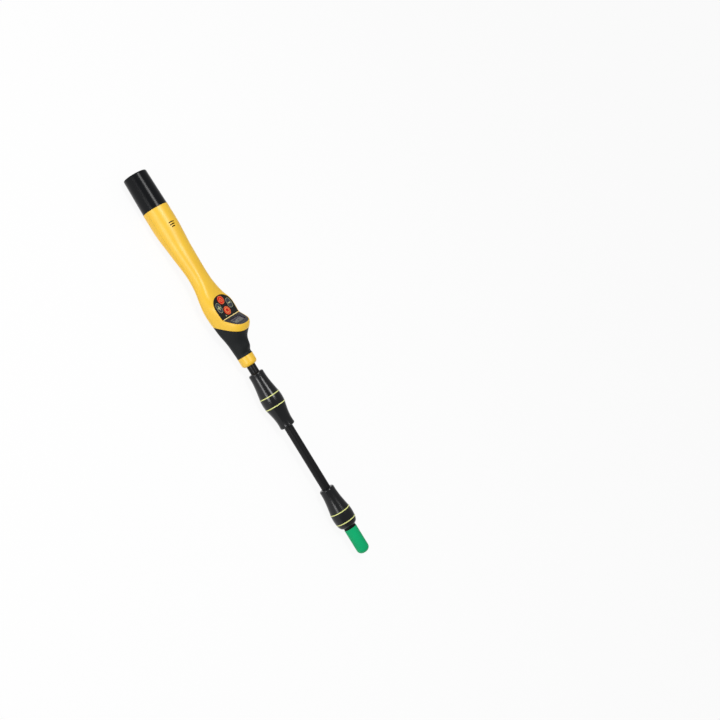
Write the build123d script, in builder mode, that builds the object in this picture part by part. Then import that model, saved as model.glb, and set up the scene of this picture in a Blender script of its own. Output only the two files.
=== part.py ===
from build123d import *
import os
from math import cos, radians, sin, tan
from scipy.interpolate import PchipInterpolator

# Sonde locator: a hand-held receiver wand with a battery grip, a keypad head and two antennas on a mast.
# The wand lies along X on its back, the tip at +X and the keypad facing +Z. All sizes are in millimetres.

# Fits shared by many pieces
SLIP = 0.1  # radial clearance of pieces that slip together
MOVING_GAP = 0.25  # clearance round pieces that move
PRINT_GAP = 0.1  # gap round the overlays in their recesses

# Battery cap and its seal
CAP_LENGTH = 64.4
CAP_END_DIAMETER = 42.5
CAP_MOUTH_DIAMETER = 45.4
CAP_WALL = 2.0
CAP_END_WALL = 3.0
CAP_END_ROUND = 2.5
CAP_BOSS_RADIUS = 5.0
CAP_BOSS_HEIGHT = 1.0
GASKET_THICKNESS = 1.0
GASKET_MARGIN = 0.5

# Battery neck and its thread
NECK_WALL = 1.5
NECK_REACH = 12.0  # how far the neck stands into the cap
NECK_ROOT = 16.0  # how far the neck stands into the barrel
NECK_SHELF = 2.0
NECK_SHELF_WIDTH = 3.0
NECK_GROOVE_OFFSET = 6.0
NECK_GROOVE_WIDTH = 3.0
NECK_GROOVE_DEPTH = 1.2
THREAD_PITCH = 3.0
THREAD_TURNS = 3.0
THREAD_DEPTH = 0.8
THREAD_CREST = 0.7
THREAD_ROOT = 1.6

# Batteries and their contacts
CELL_DIAMETER = 14.5
CELL_LENGTH = 50.5
CELL_SPACING = 14.8
CELL_NUB_RADIUS = 2.7
CELL_NUB_LENGTH = 1.0
CARRIER_RADIUS = 17.9
CARRIER_DISC = 2.4
CARRIER_SPINE = 3.0
CONTACT_PLATE_RADIUS = 15.0
CONTACT_PLATE_THICKNESS = 1.6
CONTACT_BOARD_THICKNESS = 1.6
RIVET_RADIUS = 1.5
RIVET_HEAD_RADIUS = 3.0
RIVET_HEAD = 0.9
SPRING_RADIUS = 6.0
SPRING_WIRE = 0.9
SPRING_LENGTH = 7.6
SPRING_TURNS = 4
LEAD_WIRE_RADIUS = 0.8
LEAD_WIRE_SPREAD = 6.5
LEAD_WIRE_DEPTH = 4.0
LEAD_WIRE_BEND = 3.2

# Yellow body: lengths along the wand
BARREL_LENGTH = 29.1
GRIP_LENGTH = 102.0
SHOULDER_LENGTH = 41.6
KEYPAD_LENGTH = 45.0
HOOD_LENGTH = 18.5
NOSE_LENGTH = 51.9

# Yellow body: half widths, front heights and back depths from the wand's axis
BARREL_RADIUS = 23.0
WAIST_HALF_WIDTH = 18.2
WAIST_FRONT = 17.8
WAIST_BACK = 10.8
SHOULDER_HALF_WIDTH = 26.5
SHOULDER_FRONT = 17.7
HEAD_HALF_WIDTH = 29.6
HEAD_BACK = 15.3
HOOD_HALF_WIDTH = 24.4
HOOD_FRONT = 42.3
NOSE_END_RADIUS = 14.8
WALL = 2.4
SECTION_COUNT = 29
PARTING_OVERLAP = 2.0
SHAPE_OVERRUN = 10.0  # how far a form that cuts a hollow runs past the ends of the body
NOSE_FORM_LEAD = 25.0  # how far before the crease the nose's form starts
ROUND = 0.552  # handle share that makes a Bezier quarter round

# Keypad and display faces
CREASE_HEIGHT = 19.3
KEYPAD_TILT = 1.7
DISPLAY_TILT = 45.0
FACE_LEAD = 4.0  # how far the keypad face is cut on past the shoulder
CREASE_RIB = 1.6
RIM_ROUND = 0.8  # along the edges of the two faces
OVERLAY_THICKNESS = 0.8
OVERLAY_RIM = 1.0
PANEL_THICKNESS = 2.8

# Keys, measured from the crease
ROUND_KEY_DIAMETER = 15.6
POWER_KEY_PLACE = 11.4
TARGET_KEY_PLACE = 31.9
SIDE_KEY_LENGTH = 19.3
SIDE_KEY_WIDTH = 12.5
SIDE_KEY_PLACE = 21.3
SIDE_KEY_SPREAD = 14.9
KEY_STAND = 0.7
KEY_EDGE_ROUND = 0.4
KEY_FLANGE = 0.7
KEY_FLANGE_THICKNESS = 1.0
KEY_STEM_RADIUS = 2.0
KEY_STEM_LENGTH = 1.0
KEY_TRAVEL = 0.5
KEY_PLAY = 0.1
SWITCH_SIZE = 6.0
SWITCH_BODY = 2.0
SWITCH_PLUNGER_RADIUS = 1.7
SWITCH_PLUNGER = 0.5

# Main board
BOARD_THICKNESS = 1.6
BOARD_START = 3.0
BOARD_LENGTH = 38.0
BOARD_WIDTH = 27.0
BOARD_WING_LENGTH = 20.0
BOARD_WING_WIDTH = 37.0
POST_RADIUS = 2.2
POST_NEAR = (6.5, 11.0)
POST_FAR = (37.5, 10.0)
BOARD_SCREW_RADIUS = 1.0
BOARD_SCREW_LENGTH = 5.0
BOARD_SCREW_HEAD_RADIUS = 1.9
BOARD_SCREW_HEAD = 1.3
SOCKET_LENGTH = 8.0
SOCKET_WIDTH = 6.0
SOCKET_HEIGHT = 5.0

# Display
WINDOW_LENGTH = 15.4
WINDOW_WIDTH = 28.0
WINDOW_ROUND = 1.2
WINDOW_PLACE = 13.4
LENS_MARGIN = 1.0
LENS_THICKNESS = 1.2
DISPLAY_GLASS = 2.2
DISPLAY_FRAME_WALL = 1.2
DISPLAY_FRAME_ROUND = 3.0

# Speaker
SPEAKER_PLACE = 36.4  # from the start of the barrel
SPEAKER_TURN = 17.5  # how far the speaker and its slots are turned round the wand, towards -Y
SPEAKER_RADIUS = 11.5
SPEAKER_TOP = 16.0
SPEAKER_FLANGE = 1.6
SPEAKER_DEPTH = 6.0
SPEAKER_MAGNET_RADIUS = 6.5
SPEAKER_SEAT_WALL = 1.6
SPEAKER_SEAT_DEPTH = 3.0
SPEAKER_RING = 1.4
SLOT_PITCH = 4.1
SLOT_WIDTH = 1.9
SLOT_BOW_RADIUS = 18.0
SLOT_HALF_LENGTHS = (4.8, 4.3, 2.6)

# Shell screws, from the back
SHELL_SCREW_RADIUS = 1.5
SHELL_SCREW_HEAD_RADIUS = 2.75
SHELL_SCREW_HEAD = 2.2
SHELL_SCREW_SEAT = 5.0
SHELL_SCREW_GRIP = 8.0
SHELL_SCREW_RUN_OUT = 1.0
FRONT_BOSS_RADIUS = 3.4
REAR_BOSS_RADIUS = 4.5
HEAD_SCREW_SPREAD = 20.0
HEAD_SCREW_PLACE = 38.0
GRIP_SCREW_NEAR = 36.0
GRIP_SCREW_FAR = 11.0

# Nose cone
NOSE_CUT = 5.4  # the slanted joint crosses the axis this far past the crease
NOSE_CUT_SLOPE = 0.78
NOSE_STEP = 0.4
JOINT_ROUND = 0.8  # along the shells' edge at the slanted joint
NOSE_WALL = 2.2
NOSE_SEAL = 0.6
NOSE_LIP = 6.0
NOSE_LIP_WALL = 1.8
NOSE_LIP_GAP = 0.25
NOSE_LIP_ROOT = 3.0
NOSE_WEB = 9.0
MAST_SOCKET = 26.0
MAST_SOCKET_WALL = 2.4

# Collar and mast
COLLAR_RADIUS = 14.3
COLLAR_LENGTH = 18.4
COLLAR_END_ROUND = 6.0
COLLAR_END_WALL = 6.4
COLLAR_SPIGOT_RADIUS = 11.0
COLLAR_SPIGOT = 10.0
MAST_RADIUS = 8.0
MAST_WALL = 1.8
PIN_RADIUS = 1.5
PIN_PLACE = 6.0
LEAD_RADIUS = 2.0
LEAD_BEND = 26.0
LEAD_RUN_OUT = 8.0

# Antenna bulbs
BULB_GAP = 15.5  # bare mast between the collar and the upper bulb
BULB_SPACING = 235.8
BULB_REAR_LENGTH = 56.0
BULB_FRONT_LENGTH = 52.3
BULB_CREST_RADIUS = 19.4
BULB_STRIPE_RADIUS = 18.8
BULB_SHOULDER_RADIUS = 18.5
BULB_WAIST_RADIUS = 15.1
BULB_MOUTH_RADIUS = 13.8
BULB_REAR_WAIST = 31.5
BULB_FRONT_WAIST = 26.5
BULB_MOUTH_ROUND = 3.0
BULB_MOUTH_WALL = 8.0
BULB_WALL = 2.0
BAND_HALF_WIDTH = 9.2
REST_FLAT = 0.2  # depth of the flat under each band, on which the wand lies still on its back
STRIPE_WIDTH = 1.6
STRIPE_STAND = 0.3
SPIGOT_RADIUS = 17.3
SPIGOT_WALL = 1.6
SPIGOT_REACH = 2.5
DOME_LENGTH = 10.8
DOME_END_RADIUS = 11.8
DOME_START_SLOPE = 0.12
DOME_END_SLOPE = 2.9
BOBBIN_CORE = 1.4
BOBBIN_FLANGE_RADIUS = 14.6
BOBBIN_FLANGE = 2.0
BOBBIN_HALF_LENGTH = 13.0
WINDING_RADIUS = 14.0

# Tip
TIP_RADIUS = 11.6
TIP_LENGTH = 50.5
TIP_END_ROUND = 9.0
TIP_NECK_RADIUS = 11.0
TIP_NECK = 4.2
TIP_CORE_RADIUS = 8.0
TIP_CORE = 30.0
TIP_SPIGOT = 14.0

# Stations along the wand, from the cap's end
BARREL_START = CAP_LENGTH + GASKET_THICKNESS
BARREL_END = BARREL_START + BARREL_LENGTH
SPEAKER_STATION = BARREL_START + SPEAKER_PLACE
WAIST = BARREL_END + GRIP_LENGTH
SHOULDER = WAIST + SHOULDER_LENGTH
CREASE = SHOULDER + KEYPAD_LENGTH
HOOD_TOP = CREASE + HOOD_LENGTH
NOSE_END = HOOD_TOP + NOSE_LENGTH
COLLAR_END = NOSE_END + COLLAR_LENGTH
UPPER_BULB = COLLAR_END + BULB_GAP + BULB_REAR_LENGTH
LOWER_BULB = UPPER_BULB + BULB_SPACING
STRIPE_END = BAND_HALF_WIDTH + STRIPE_WIDTH
MAST_END = LOWER_BULB + STRIPE_END + DOME_LENGTH
TIP_START = MAST_END + TIP_NECK
TOTAL_LENGTH = TIP_START + TIP_LENGTH
MAST_START = NOSE_END - MAST_SOCKET
REST_RUN = LOWER_BULB - BARREL_END
REST_RISE = BARREL_RADIUS - BULB_CREST_RADIUS + REST_FLAT

# Where the wand stands: on its back, with its middle over the origin
AXIS_HEIGHT = BARREL_RADIUS
START_X = -TOTAL_LENGTH / 2
FAR = 2 * TOTAL_LENGTH  # size of the blocks that trim other shapes
WAND_AXIS = Axis((START_X, 0, AXIS_HEIGHT), (1, 0, 0))
PROFILE = Plane(origin=(START_X, 0, AXIS_HEIGHT), x_dir=(1, 0, 0), z_dir=(0, -1, 0))
PARTING = Plane.XY.offset(AXIS_HEIGHT)
CREASE_POINT = (START_X + CREASE, 0, AXIS_HEIGHT + CREASE_HEIGHT)


def face_plane(tilt):
    """A face of the head: origin on the crease, x towards the tip, z out of the face."""
    lean = radians(tilt)
    return Plane(origin=CREASE_POINT, x_dir=(cos(lean), 0, sin(lean)), z_dir=(-sin(lean), 0, cos(lean)))


KEYPAD = face_plane(KEYPAD_TILT)
DISPLAY = face_plane(DISPLAY_TILT)
NOSE_JOINT = Plane(
    origin=(START_X + CREASE + NOSE_CUT, 0, AXIS_HEIGHT),
    x_dir=(NOSE_CUT_SLOPE, 0, 1),
    z_dir=(1, 0, -NOSE_CUT_SLOPE),
)


def station_plane(station):
    """A plane across the wand: x is the wand's Y, y is up."""
    return Plane(origin=(START_X + station, 0, AXIS_HEIGHT), x_dir=(0, 1, 0), z_dir=(1, 0, 0))


def level_plane(height):
    """A level plane: x is the station along the wand."""
    return Plane(origin=(START_X, 0, AXIS_HEIGHT + height), x_dir=(1, 0, 0), z_dir=(0, 0, 1))


def speaker_plane(height):
    """A plane above the speaker: like a level plane, but turned round the wand."""
    turn = radians(SPEAKER_TURN)
    out = Vector(0, -sin(turn), cos(turn))
    return Plane(origin=Vector(START_X, 0, AXIS_HEIGHT) + out * height, x_dir=(1, 0, 0), z_dir=out)


def mix(start, end, share):
    return start + (end - start) * share


def smooth_curve(points):
    """A smooth curve of a size along the wand, through a few stations."""
    return PchipInterpolator([place for place, size in points], [size for place, size in points])


# The body's outline: each size along the wand, from the barrel to the end of the nose
half_width = smooth_curve([
    (BARREL_START, BARREL_RADIUS),
    (BARREL_END, BARREL_RADIUS),
    (mix(BARREL_END, WAIST, 0.5), mix(BARREL_RADIUS, WAIST_HALF_WIDTH, 0.49)),
    (WAIST, WAIST_HALF_WIDTH),
    (mix(WAIST, SHOULDER, 0.42), mix(WAIST_HALF_WIDTH, SHOULDER_HALF_WIDTH, 0.2)),
    (SHOULDER, SHOULDER_HALF_WIDTH),
    (mix(SHOULDER, CREASE, 0.44), HEAD_HALF_WIDTH),
    (CREASE, mix(HEAD_HALF_WIDTH, HOOD_HALF_WIDTH, 0.42)),
    (HOOD_TOP, HOOD_HALF_WIDTH),
    (mix(HOOD_TOP, NOSE_END, 0.43), mix(HOOD_HALF_WIDTH, NOSE_END_RADIUS, 0.68)),
    (NOSE_END, NOSE_END_RADIUS),
])
front_height = smooth_curve([
    (BARREL_START, BARREL_RADIUS),
    (BARREL_END, BARREL_RADIUS),
    (mix(BARREL_END, WAIST, 0.5), mix(BARREL_RADIUS, WAIST_FRONT, 0.75)),
    (WAIST, WAIST_FRONT),
    (mix(WAIST, SHOULDER, 0.6), mix(WAIST_FRONT, SHOULDER_FRONT, 5.0)),
    (SHOULDER, SHOULDER_FRONT),
    (mix(SHOULDER, CREASE, 0.22), mix(SHOULDER_FRONT, HOOD_FRONT, 0.176)),
    (mix(SHOULDER, CREASE, 0.7), mix(SHOULDER_FRONT, HOOD_FRONT, 0.604)),
    (mix(CREASE, HOOD_TOP, 0.5), mix(SHOULDER_FRONT, HOOD_FRONT, 0.951)),
    (HOOD_TOP, HOOD_FRONT),
    (mix(HOOD_TOP, NOSE_END, 0.16), mix(HOOD_FRONT, NOSE_END_RADIUS, 0.11)),
    (mix(HOOD_TOP, NOSE_END, 0.43), mix(HOOD_FRONT, NOSE_END_RADIUS, 0.6)),
    (mix(HOOD_TOP, NOSE_END, 0.77), mix(HOOD_FRONT, NOSE_END_RADIUS, 0.87)),
    (NOSE_END, NOSE_END_RADIUS),
])
back_depth = smooth_curve([
    (BARREL_START, BARREL_RADIUS),
    (BARREL_END, BARREL_RADIUS),
    (mix(BARREL_END, WAIST, 0.5), mix(BARREL_RADIUS, WAIST_BACK, 0.46)),
    (WAIST, WAIST_BACK),
    (mix(WAIST, SHOULDER, 0.73), WAIST_BACK),
    (mix(SHOULDER, CREASE, 0.22), mix(WAIST_BACK, HEAD_BACK, 0.45)),
    (mix(SHOULDER, CREASE, 0.9), HEAD_BACK),
    (mix(HOOD_TOP, NOSE_END, 0.3), mix(HEAD_BACK, NOSE_END_RADIUS, 0.7)),
    (NOSE_END, NOSE_END_RADIUS),
])
front_fullness = smooth_curve([
    (BARREL_START, ROUND),
    (BARREL_END, ROUND),
    (mix(WAIST, SHOULDER, 0.73), 0.75),
    (mix(SHOULDER, CREASE, 0.44), 0.79),
    (CREASE, 0.71),
    (HOOD_TOP, 0.8),
    (mix(HOOD_TOP, NOSE_END, 0.43), 0.6),
    (NOSE_END, ROUND),
])


def body_stations(start, overrun):
    """Even stations along the body from the start on, and one more past each end with an overrun."""
    stations = [mix(BARREL_START, NOSE_END, step / SECTION_COUNT) for step in range(SECTION_COUNT + 1)]
    stations = [station for station in stations if station >= start]
    if overrun:
        stations = [stations[0] - overrun] + stations + [NOSE_END + overrun]
    return stations


def within_body(station):
    return min(max(station, BARREL_START), NOSE_END)


def body_half(side, inset, overrun=0.0, start=BARREL_START):
    """Front (side 1) or back (side -1) half of the body's form, drawn in by the inset.

    Its sides run straight on past the parting plane, so that the plane can trim it.
    """
    with BuildPart() as half:
        for station in body_stations(start, overrun):
            place = within_body(station)
            wide = float(half_width(place)) - inset
            deep = side * (float(front_height(place) if side > 0 else back_depth(place)) - inset)
            full = float(front_fullness(place)) if side > 0 else ROUND
            past = -side * PARTING_OVERLAP
            with BuildSketch(station_plane(station)):
                with BuildLine():
                    Bezier((wide, 0), (wide, full * deep), (full * wide, deep), (0, deep))
                    Bezier((0, deep), (-full * wide, deep), (-wide, full * deep), (-wide, 0))
                    Polyline((-wide, 0), (-wide, past), (wide, past), (wide, 0))
                make_face()
        loft()
    return half.part


def nose_half(side, inset):
    """One half of the body's form from just before the crease, trimmed at the parting plane."""
    with BuildPart() as half:
        add(body_half(side, inset, start=CREASE - NOSE_FORM_LEAD))
        split(bisect_by=PARTING, keep=Keep.TOP if side > 0 else Keep.BOTTOM)
    return half.part


def nose_form(inset):
    """The whole round of the body from just before the crease to the end of the nose."""
    with BuildPart() as form:
        add(nose_half(1, inset))
        add(nose_half(-1, inset))
    return form.part


def nose_ring(outer, inner, start, end):
    """A ring of the nose's form between two insets, and between two offsets from the nose joint."""
    with BuildPart() as ring:
        add(nose_form(outer))
        split(bisect_by=NOSE_JOINT.offset(start), keep=Keep.TOP)
        split(bisect_by=NOSE_JOINT.offset(end), keep=Keep.BOTTOM)
        add(nose_form(inner), mode=Mode.SUBTRACT)
    return ring.part


def under_faces(depth):
    """Everything below the keypad and display faces, or below faces sunk by the depth."""
    keypad_lean = radians(KEYPAD_TILT)
    display_lean = radians(DISPLAY_TILT)
    fold = 1 + cos(display_lean - keypad_lean)
    crease_x = CREASE + depth * (sin(keypad_lean) + sin(display_lean)) / fold
    crease_z = CREASE_HEIGHT - depth * (cos(keypad_lean) + cos(display_lean)) / fold
    face_start = SHOULDER - FACE_LEAD
    face_z = crease_z - (crease_x - face_start) * tan(keypad_lean)
    with BuildPart() as block:
        with BuildSketch(PROFILE):
            with BuildLine():
                Polyline(
                    (-FAR, -FAR),
                    (-FAR, FAR),
                    (face_start, FAR),
                    (face_start, face_z),
                    (crease_x, crease_z),
                    (crease_x + FAR, crease_z + FAR * tan(display_lean)),
                    (crease_x + FAR, -FAR),
                    close=True,
                )
            make_face()
        extrude(amount=HEAD_HALF_WIDTH * 2, both=True)
    return block.part


def face_block(face, start, end, low, high):
    """A wide block on a face, from start to end along it and from low to high off it."""
    with BuildPart() as block:
        with BuildSketch(face.offset(low)):
            with Locations(((start + end) / 2, 0)):
                Rectangle(abs(end - start), HEAD_HALF_WIDTH * 4)
        extrude(amount=high - low)
    return block.part


def keypad_recess(rim, high):
    """The keypad overlay's place in the front shell."""
    block = face_block(KEYPAD, -KEYPAD_LENGTH - FACE_LEAD, -CREASE_RIB / 2, -OVERLAY_THICKNESS, high)
    return body_half(1, rim) & block


def display_recess(rim, high):
    """The display overlay's place in the front shell."""
    block = face_block(DISPLAY, CREASE_RIB / 2, HOOD_FRONT * 2, -OVERLAY_THICKNESS, high)
    return body_half(1, rim) & block


def turned(outline):
    """A round piece from half its outline, given as (station, radius) points."""
    with BuildPart() as piece:
        with BuildSketch(PROFILE):
            with BuildLine():
                Polyline(*outline, close=True)
            make_face()
        revolve(axis=WAND_AXIS)
    return piece.part


def key_outline(name, grow):
    """The outline of one key on the keypad face, in the current sketch."""
    if name in ROUND_KEYS:
        with Locations((-ROUND_KEYS[name], 0)):
            Circle(ROUND_KEY_DIAMETER / 2 + grow)
    else:
        with Locations((-SIDE_KEY_PLACE, SIDE_KEYS[name])):
            SlotOverall(SIDE_KEY_LENGTH + 2 * grow, SIDE_KEY_WIDTH + 2 * grow)


def key_spot(name):
    """The middle of one key on the keypad face."""
    if name in ROUND_KEYS:
        return (-ROUND_KEYS[name], 0)
    return (-SIDE_KEY_PLACE, SIDE_KEYS[name])


def save(part, name):
    part.label = name
    export_step(part, f"parts/{name}.step")


ROUND_KEYS = {"power_key": POWER_KEY_PLACE, "target_key": TARGET_KEY_PLACE}
SIDE_KEYS = {"minus_key": SIDE_KEY_SPREAD, "plus_key": -SIDE_KEY_SPREAD}
KEYS = [*ROUND_KEYS, *SIDE_KEYS]

# Depths below the keypad face
KEY_FLANGE_TOP = PANEL_THICKNESS + KEY_PLAY
KEY_FLANGE_FOOT = KEY_FLANGE_TOP + KEY_FLANGE_THICKNESS
KEY_FOOT = KEY_FLANGE_FOOT + KEY_STEM_LENGTH
PLUNGER_TOP = KEY_FOOT + KEY_TRAVEL + KEY_PLAY
BOARD_TOP = PLUNGER_TOP + SWITCH_PLUNGER + SWITCH_BODY
BOARD_FOOT = BOARD_TOP + BOARD_THICKNESS
BOARD_MIDDLE = -BOARD_START - BOARD_LENGTH / 2
POSTS = [(-place, side * spread) for place, spread in (POST_NEAR, POST_FAR) for side in (1, -1)]

# Depths below the display face
LENS_TOP = OVERLAY_THICKNESS
LENS_FOOT = LENS_TOP + LENS_THICKNESS
GLASS_TOP = PANEL_THICKNESS
GLASS_FOOT = GLASS_TOP + DISPLAY_GLASS
LENS_LENGTH = WINDOW_LENGTH + 2 * LENS_MARGIN
LENS_WIDTH = WINDOW_WIDTH + 2 * LENS_MARGIN
FRAME_LENGTH = LENS_LENGTH + 2 * (DISPLAY_FRAME_WALL + SLIP)
FRAME_WIDTH = LENS_WIDTH + 2 * (DISPLAY_FRAME_WALL + SLIP)

# Shell screws, as (station, Y) places
SHELL_SCREWS = [
    (BARREL_END + GRIP_SCREW_NEAR, 0),
    (WAIST + GRIP_SCREW_FAR, 0),
    (CREASE - HEAD_SCREW_PLACE, HEAD_SCREW_SPREAD),
    (CREASE - HEAD_SCREW_PLACE, -HEAD_SCREW_SPREAD),
]

# Battery stations
PLATE_START = CAP_END_WALL + CAP_BOSS_HEIGHT + SLIP
PLATE_END = PLATE_START + CONTACT_PLATE_THICKNESS
CARRIER_START = PLATE_END + SPRING_LENGTH
CELL_START = CARRIER_START + CARRIER_DISC + CELL_NUB_LENGTH + SLIP
CARRIER_END = CELL_START + CELL_LENGTH + SLIP + CARRIER_DISC
CONTACT_BOARD_START = CARRIER_END + SLIP
SHELF_START = CONTACT_BOARD_START + CONTACT_BOARD_THICKNESS
SHELF_END = SHELF_START + NECK_SHELF
NECK_START = CAP_LENGTH - NECK_REACH
NECK_BORE = CARRIER_RADIUS + SLIP
NECK_RADIUS = NECK_BORE + NECK_WALL
BARREL_BORE = BARREL_RADIUS - WALL
NECK_ROOT_RADIUS = BARREL_BORE - SLIP
NECK_GROOVE = BARREL_START + NECK_GROOVE_OFFSET
NECK_END = BARREL_START + NECK_ROOT
CAP_BORE = NECK_RADIUS + MOVING_GAP
THREAD_START = CAP_LENGTH - THREAD_PITCH * THREAD_TURNS - THREAD_ROOT / 2

os.makedirs("parts", exist_ok=True)


def thread_rib(radius, depth, turns, grow):
    """A helical rib that stands off a cylinder of the radius, fattened by grow."""
    path = Helix(
        pitch=THREAD_PITCH,
        height=THREAD_PITCH * turns,
        radius=radius,
        center=(START_X + THREAD_START, 0, AXIS_HEIGHT),
        direction=(1, 0, 0),
        mode=Mode.PRIVATE,
    )
    start = path @ 0
    out = Vector(0, start.Y, start.Z - AXIS_HEIGHT).normalized()
    section = Plane(origin=start, x_dir=out, z_dir=path % 0)
    sunk = -THREAD_DEPTH / 2
    with BuildPart() as rib:
        with BuildSketch(section):
            with BuildLine():
                Polyline(
                    (sunk, -THREAD_ROOT / 2 - grow),
                    (depth, -THREAD_CREST / 2 - grow),
                    (depth, THREAD_CREST / 2 + grow),
                    (sunk, THREAD_ROOT / 2 + grow),
                    close=True,
                )
            make_face()
        sweep(path=path, is_frenet=True)
    return rib.part


# Battery cap: a long tapered cup with a thread in its mouth and a boss for the contact plate
def cap_radius(station):
    return mix(CAP_END_DIAMETER, CAP_MOUTH_DIAMETER, station / CAP_LENGTH) / 2


thread_land = CAP_LENGTH - NECK_REACH - SLIP
with BuildPart() as battery_cap:
    with BuildSketch(PROFILE):
        with BuildLine():
            Polyline(
                (0, 0),
                (0, cap_radius(0)),
                (CAP_LENGTH, cap_radius(CAP_LENGTH)),
                (CAP_LENGTH, CAP_BORE),
                (thread_land, CAP_BORE),
                (thread_land, cap_radius(thread_land) - CAP_WALL),
                (CAP_END_WALL, cap_radius(CAP_END_WALL) - CAP_WALL),
                (CAP_END_WALL, CAP_BOSS_RADIUS),
                (CAP_END_WALL + CAP_BOSS_HEIGHT, CAP_BOSS_RADIUS),
                (CAP_END_WALL + CAP_BOSS_HEIGHT, RIVET_RADIUS + SLIP / 2),
                (CAP_END_WALL / 2, RIVET_RADIUS + SLIP / 2),
                (CAP_END_WALL / 2, 0),
                close=True,
            )
        make_face()
    revolve(axis=WAND_AXIS)
    end_edge = battery_cap.edges().filter_by(GeomType.CIRCLE).group_by(Axis.X)[0].sort_by(SortBy.RADIUS)[-1]
    fillet(end_edge, CAP_END_ROUND)
    groove_turns = THREAD_TURNS + 1  # the groove runs out of the mouth
    add(thread_rib(NECK_RADIUS, THREAD_DEPTH + MOVING_GAP, groove_turns, MOVING_GAP), mode=Mode.SUBTRACT)
save(battery_cap.part, "battery_cap")

# Rivet that holds the contact plate in the cap and lets it turn
with BuildPart() as plate_rivet:
    add(turned([
        (CAP_END_WALL / 2 + SLIP, 0),
        (CAP_END_WALL / 2 + SLIP, RIVET_RADIUS),
        (PLATE_END + SLIP, RIVET_RADIUS),
        (PLATE_END + SLIP, RIVET_HEAD_RADIUS),
        (PLATE_END + SLIP + RIVET_HEAD, RIVET_HEAD_RADIUS),
        (PLATE_END + SLIP + RIVET_HEAD, 0),
    ]))
save(plate_rivet.part, "plate_rivet")

# Contact plate in the cap
with BuildPart() as contact_plate:
    with BuildSketch(station_plane(PLATE_START)):
        Circle(CONTACT_PLATE_RADIUS)
        Circle(RIVET_RADIUS + SLIP, mode=Mode.SUBTRACT)
    extrude(amount=CONTACT_PLATE_THICKNESS)
save(contact_plate.part, "contact_plate")

# Contact spring between the plate and the carrier
spring_room = SPRING_LENGTH - SPRING_WIRE - 2 * SLIP
spring_path = Helix(
    pitch=spring_room / SPRING_TURNS,
    height=spring_room,
    radius=SPRING_RADIUS,
    center=(START_X + PLATE_END + SPRING_WIRE / 2 + SLIP, 0, AXIS_HEIGHT),
    direction=(1, 0, 0),
)
with BuildPart() as contact_spring:
    with BuildSketch(Plane(origin=spring_path @ 0, z_dir=spring_path % 0)):
        Circle(SPRING_WIRE / 2)
    sweep(path=spring_path, is_frenet=True)
save(contact_spring.part, "contact_spring")

# Battery carrier: two discs on a spine, with a bay for each cell
with BuildPart() as battery_carrier:
    with BuildSketch(station_plane(CARRIER_START)):
        Circle(CARRIER_RADIUS)
    extrude(amount=CARRIER_DISC)
    with BuildSketch(station_plane(CARRIER_END - CARRIER_DISC)):
        Circle(CARRIER_RADIUS)
    extrude(amount=CARRIER_DISC)
    with BuildSketch(station_plane(CARRIER_START)):
        Rectangle(CARRIER_SPINE, 2 * CARRIER_RADIUS - CELL_DIAMETER)
        Rectangle(2 * CARRIER_RADIUS - CELL_DIAMETER, CARRIER_SPINE)
        with GridLocations(CELL_SPACING, CELL_SPACING, 2, 2):
            Circle(CELL_DIAMETER / 2 + SLIP, mode=Mode.SUBTRACT)
    extrude(amount=CARRIER_END - CARRIER_START)
save(battery_carrier.part, "battery_carrier")

# Four cells, each a can with a contact nub
with BuildPart() as battery_cells:
    with BuildSketch(station_plane(CELL_START)):
        with GridLocations(CELL_SPACING, CELL_SPACING, 2, 2):
            Circle(CELL_DIAMETER / 2)
    extrude(amount=CELL_LENGTH)
    with BuildSketch(station_plane(CELL_START)):
        with GridLocations(CELL_SPACING, CELL_SPACING, 2, 2):
            Circle(CELL_NUB_RADIUS)
    extrude(amount=-CELL_NUB_LENGTH)
save(battery_cells.part, "battery_cells")

# Battery neck: threaded towards the cap, held by a groove in the barrel, with a shelf for the contact board
with BuildPart() as battery_neck:
    add(turned([
        (NECK_START, NECK_BORE),
        (NECK_START, NECK_RADIUS),
        (BARREL_START, NECK_RADIUS),
        (BARREL_START, NECK_ROOT_RADIUS),
        (NECK_GROOVE, NECK_ROOT_RADIUS),
        (NECK_GROOVE, NECK_ROOT_RADIUS - NECK_GROOVE_DEPTH),
        (NECK_GROOVE + NECK_GROOVE_WIDTH, NECK_ROOT_RADIUS - NECK_GROOVE_DEPTH),
        (NECK_GROOVE + NECK_GROOVE_WIDTH, NECK_ROOT_RADIUS),
        (NECK_END, NECK_ROOT_RADIUS),
        (NECK_END, NECK_BORE),
        (SHELF_END, NECK_BORE),
        (SHELF_END, NECK_BORE - NECK_SHELF_WIDTH),
        (SHELF_START, NECK_BORE - NECK_SHELF_WIDTH),
        (SHELF_START, NECK_BORE),
    ]))
    add(thread_rib(NECK_RADIUS, THREAD_DEPTH, THREAD_TURNS, 0))
save(battery_neck.part, "battery_neck")

# Contact board on the neck's shelf
with BuildPart() as contact_board:
    with BuildSketch(station_plane(CONTACT_BOARD_START)):
        Circle(CARRIER_RADIUS)
    extrude(amount=CONTACT_BOARD_THICKNESS)
save(contact_board.part, "contact_board")

# Flat gasket between the cap's mouth and the barrel
with BuildPart() as cap_gasket:
    with BuildSketch(station_plane(CAP_LENGTH)):
        Circle(cap_radius(CAP_LENGTH) - GASKET_MARGIN)
        Circle(NECK_RADIUS + SLIP, mode=Mode.SUBTRACT)
    extrude(amount=GASKET_THICKNESS)
save(cap_gasket.part, "cap_gasket")


def neck_rib():
    """The ring inside the barrel that sits in the neck's groove."""
    with BuildPart() as rib:
        with BuildSketch(station_plane(NECK_GROOVE + SLIP)):
            Circle(BARREL_RADIUS - WALL / 2)
            Circle(NECK_ROOT_RADIUS - NECK_GROOVE_DEPTH + SLIP, mode=Mode.SUBTRACT)
        extrude(amount=NECK_GROOVE_WIDTH - 2 * SLIP)
    return rib.part


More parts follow.
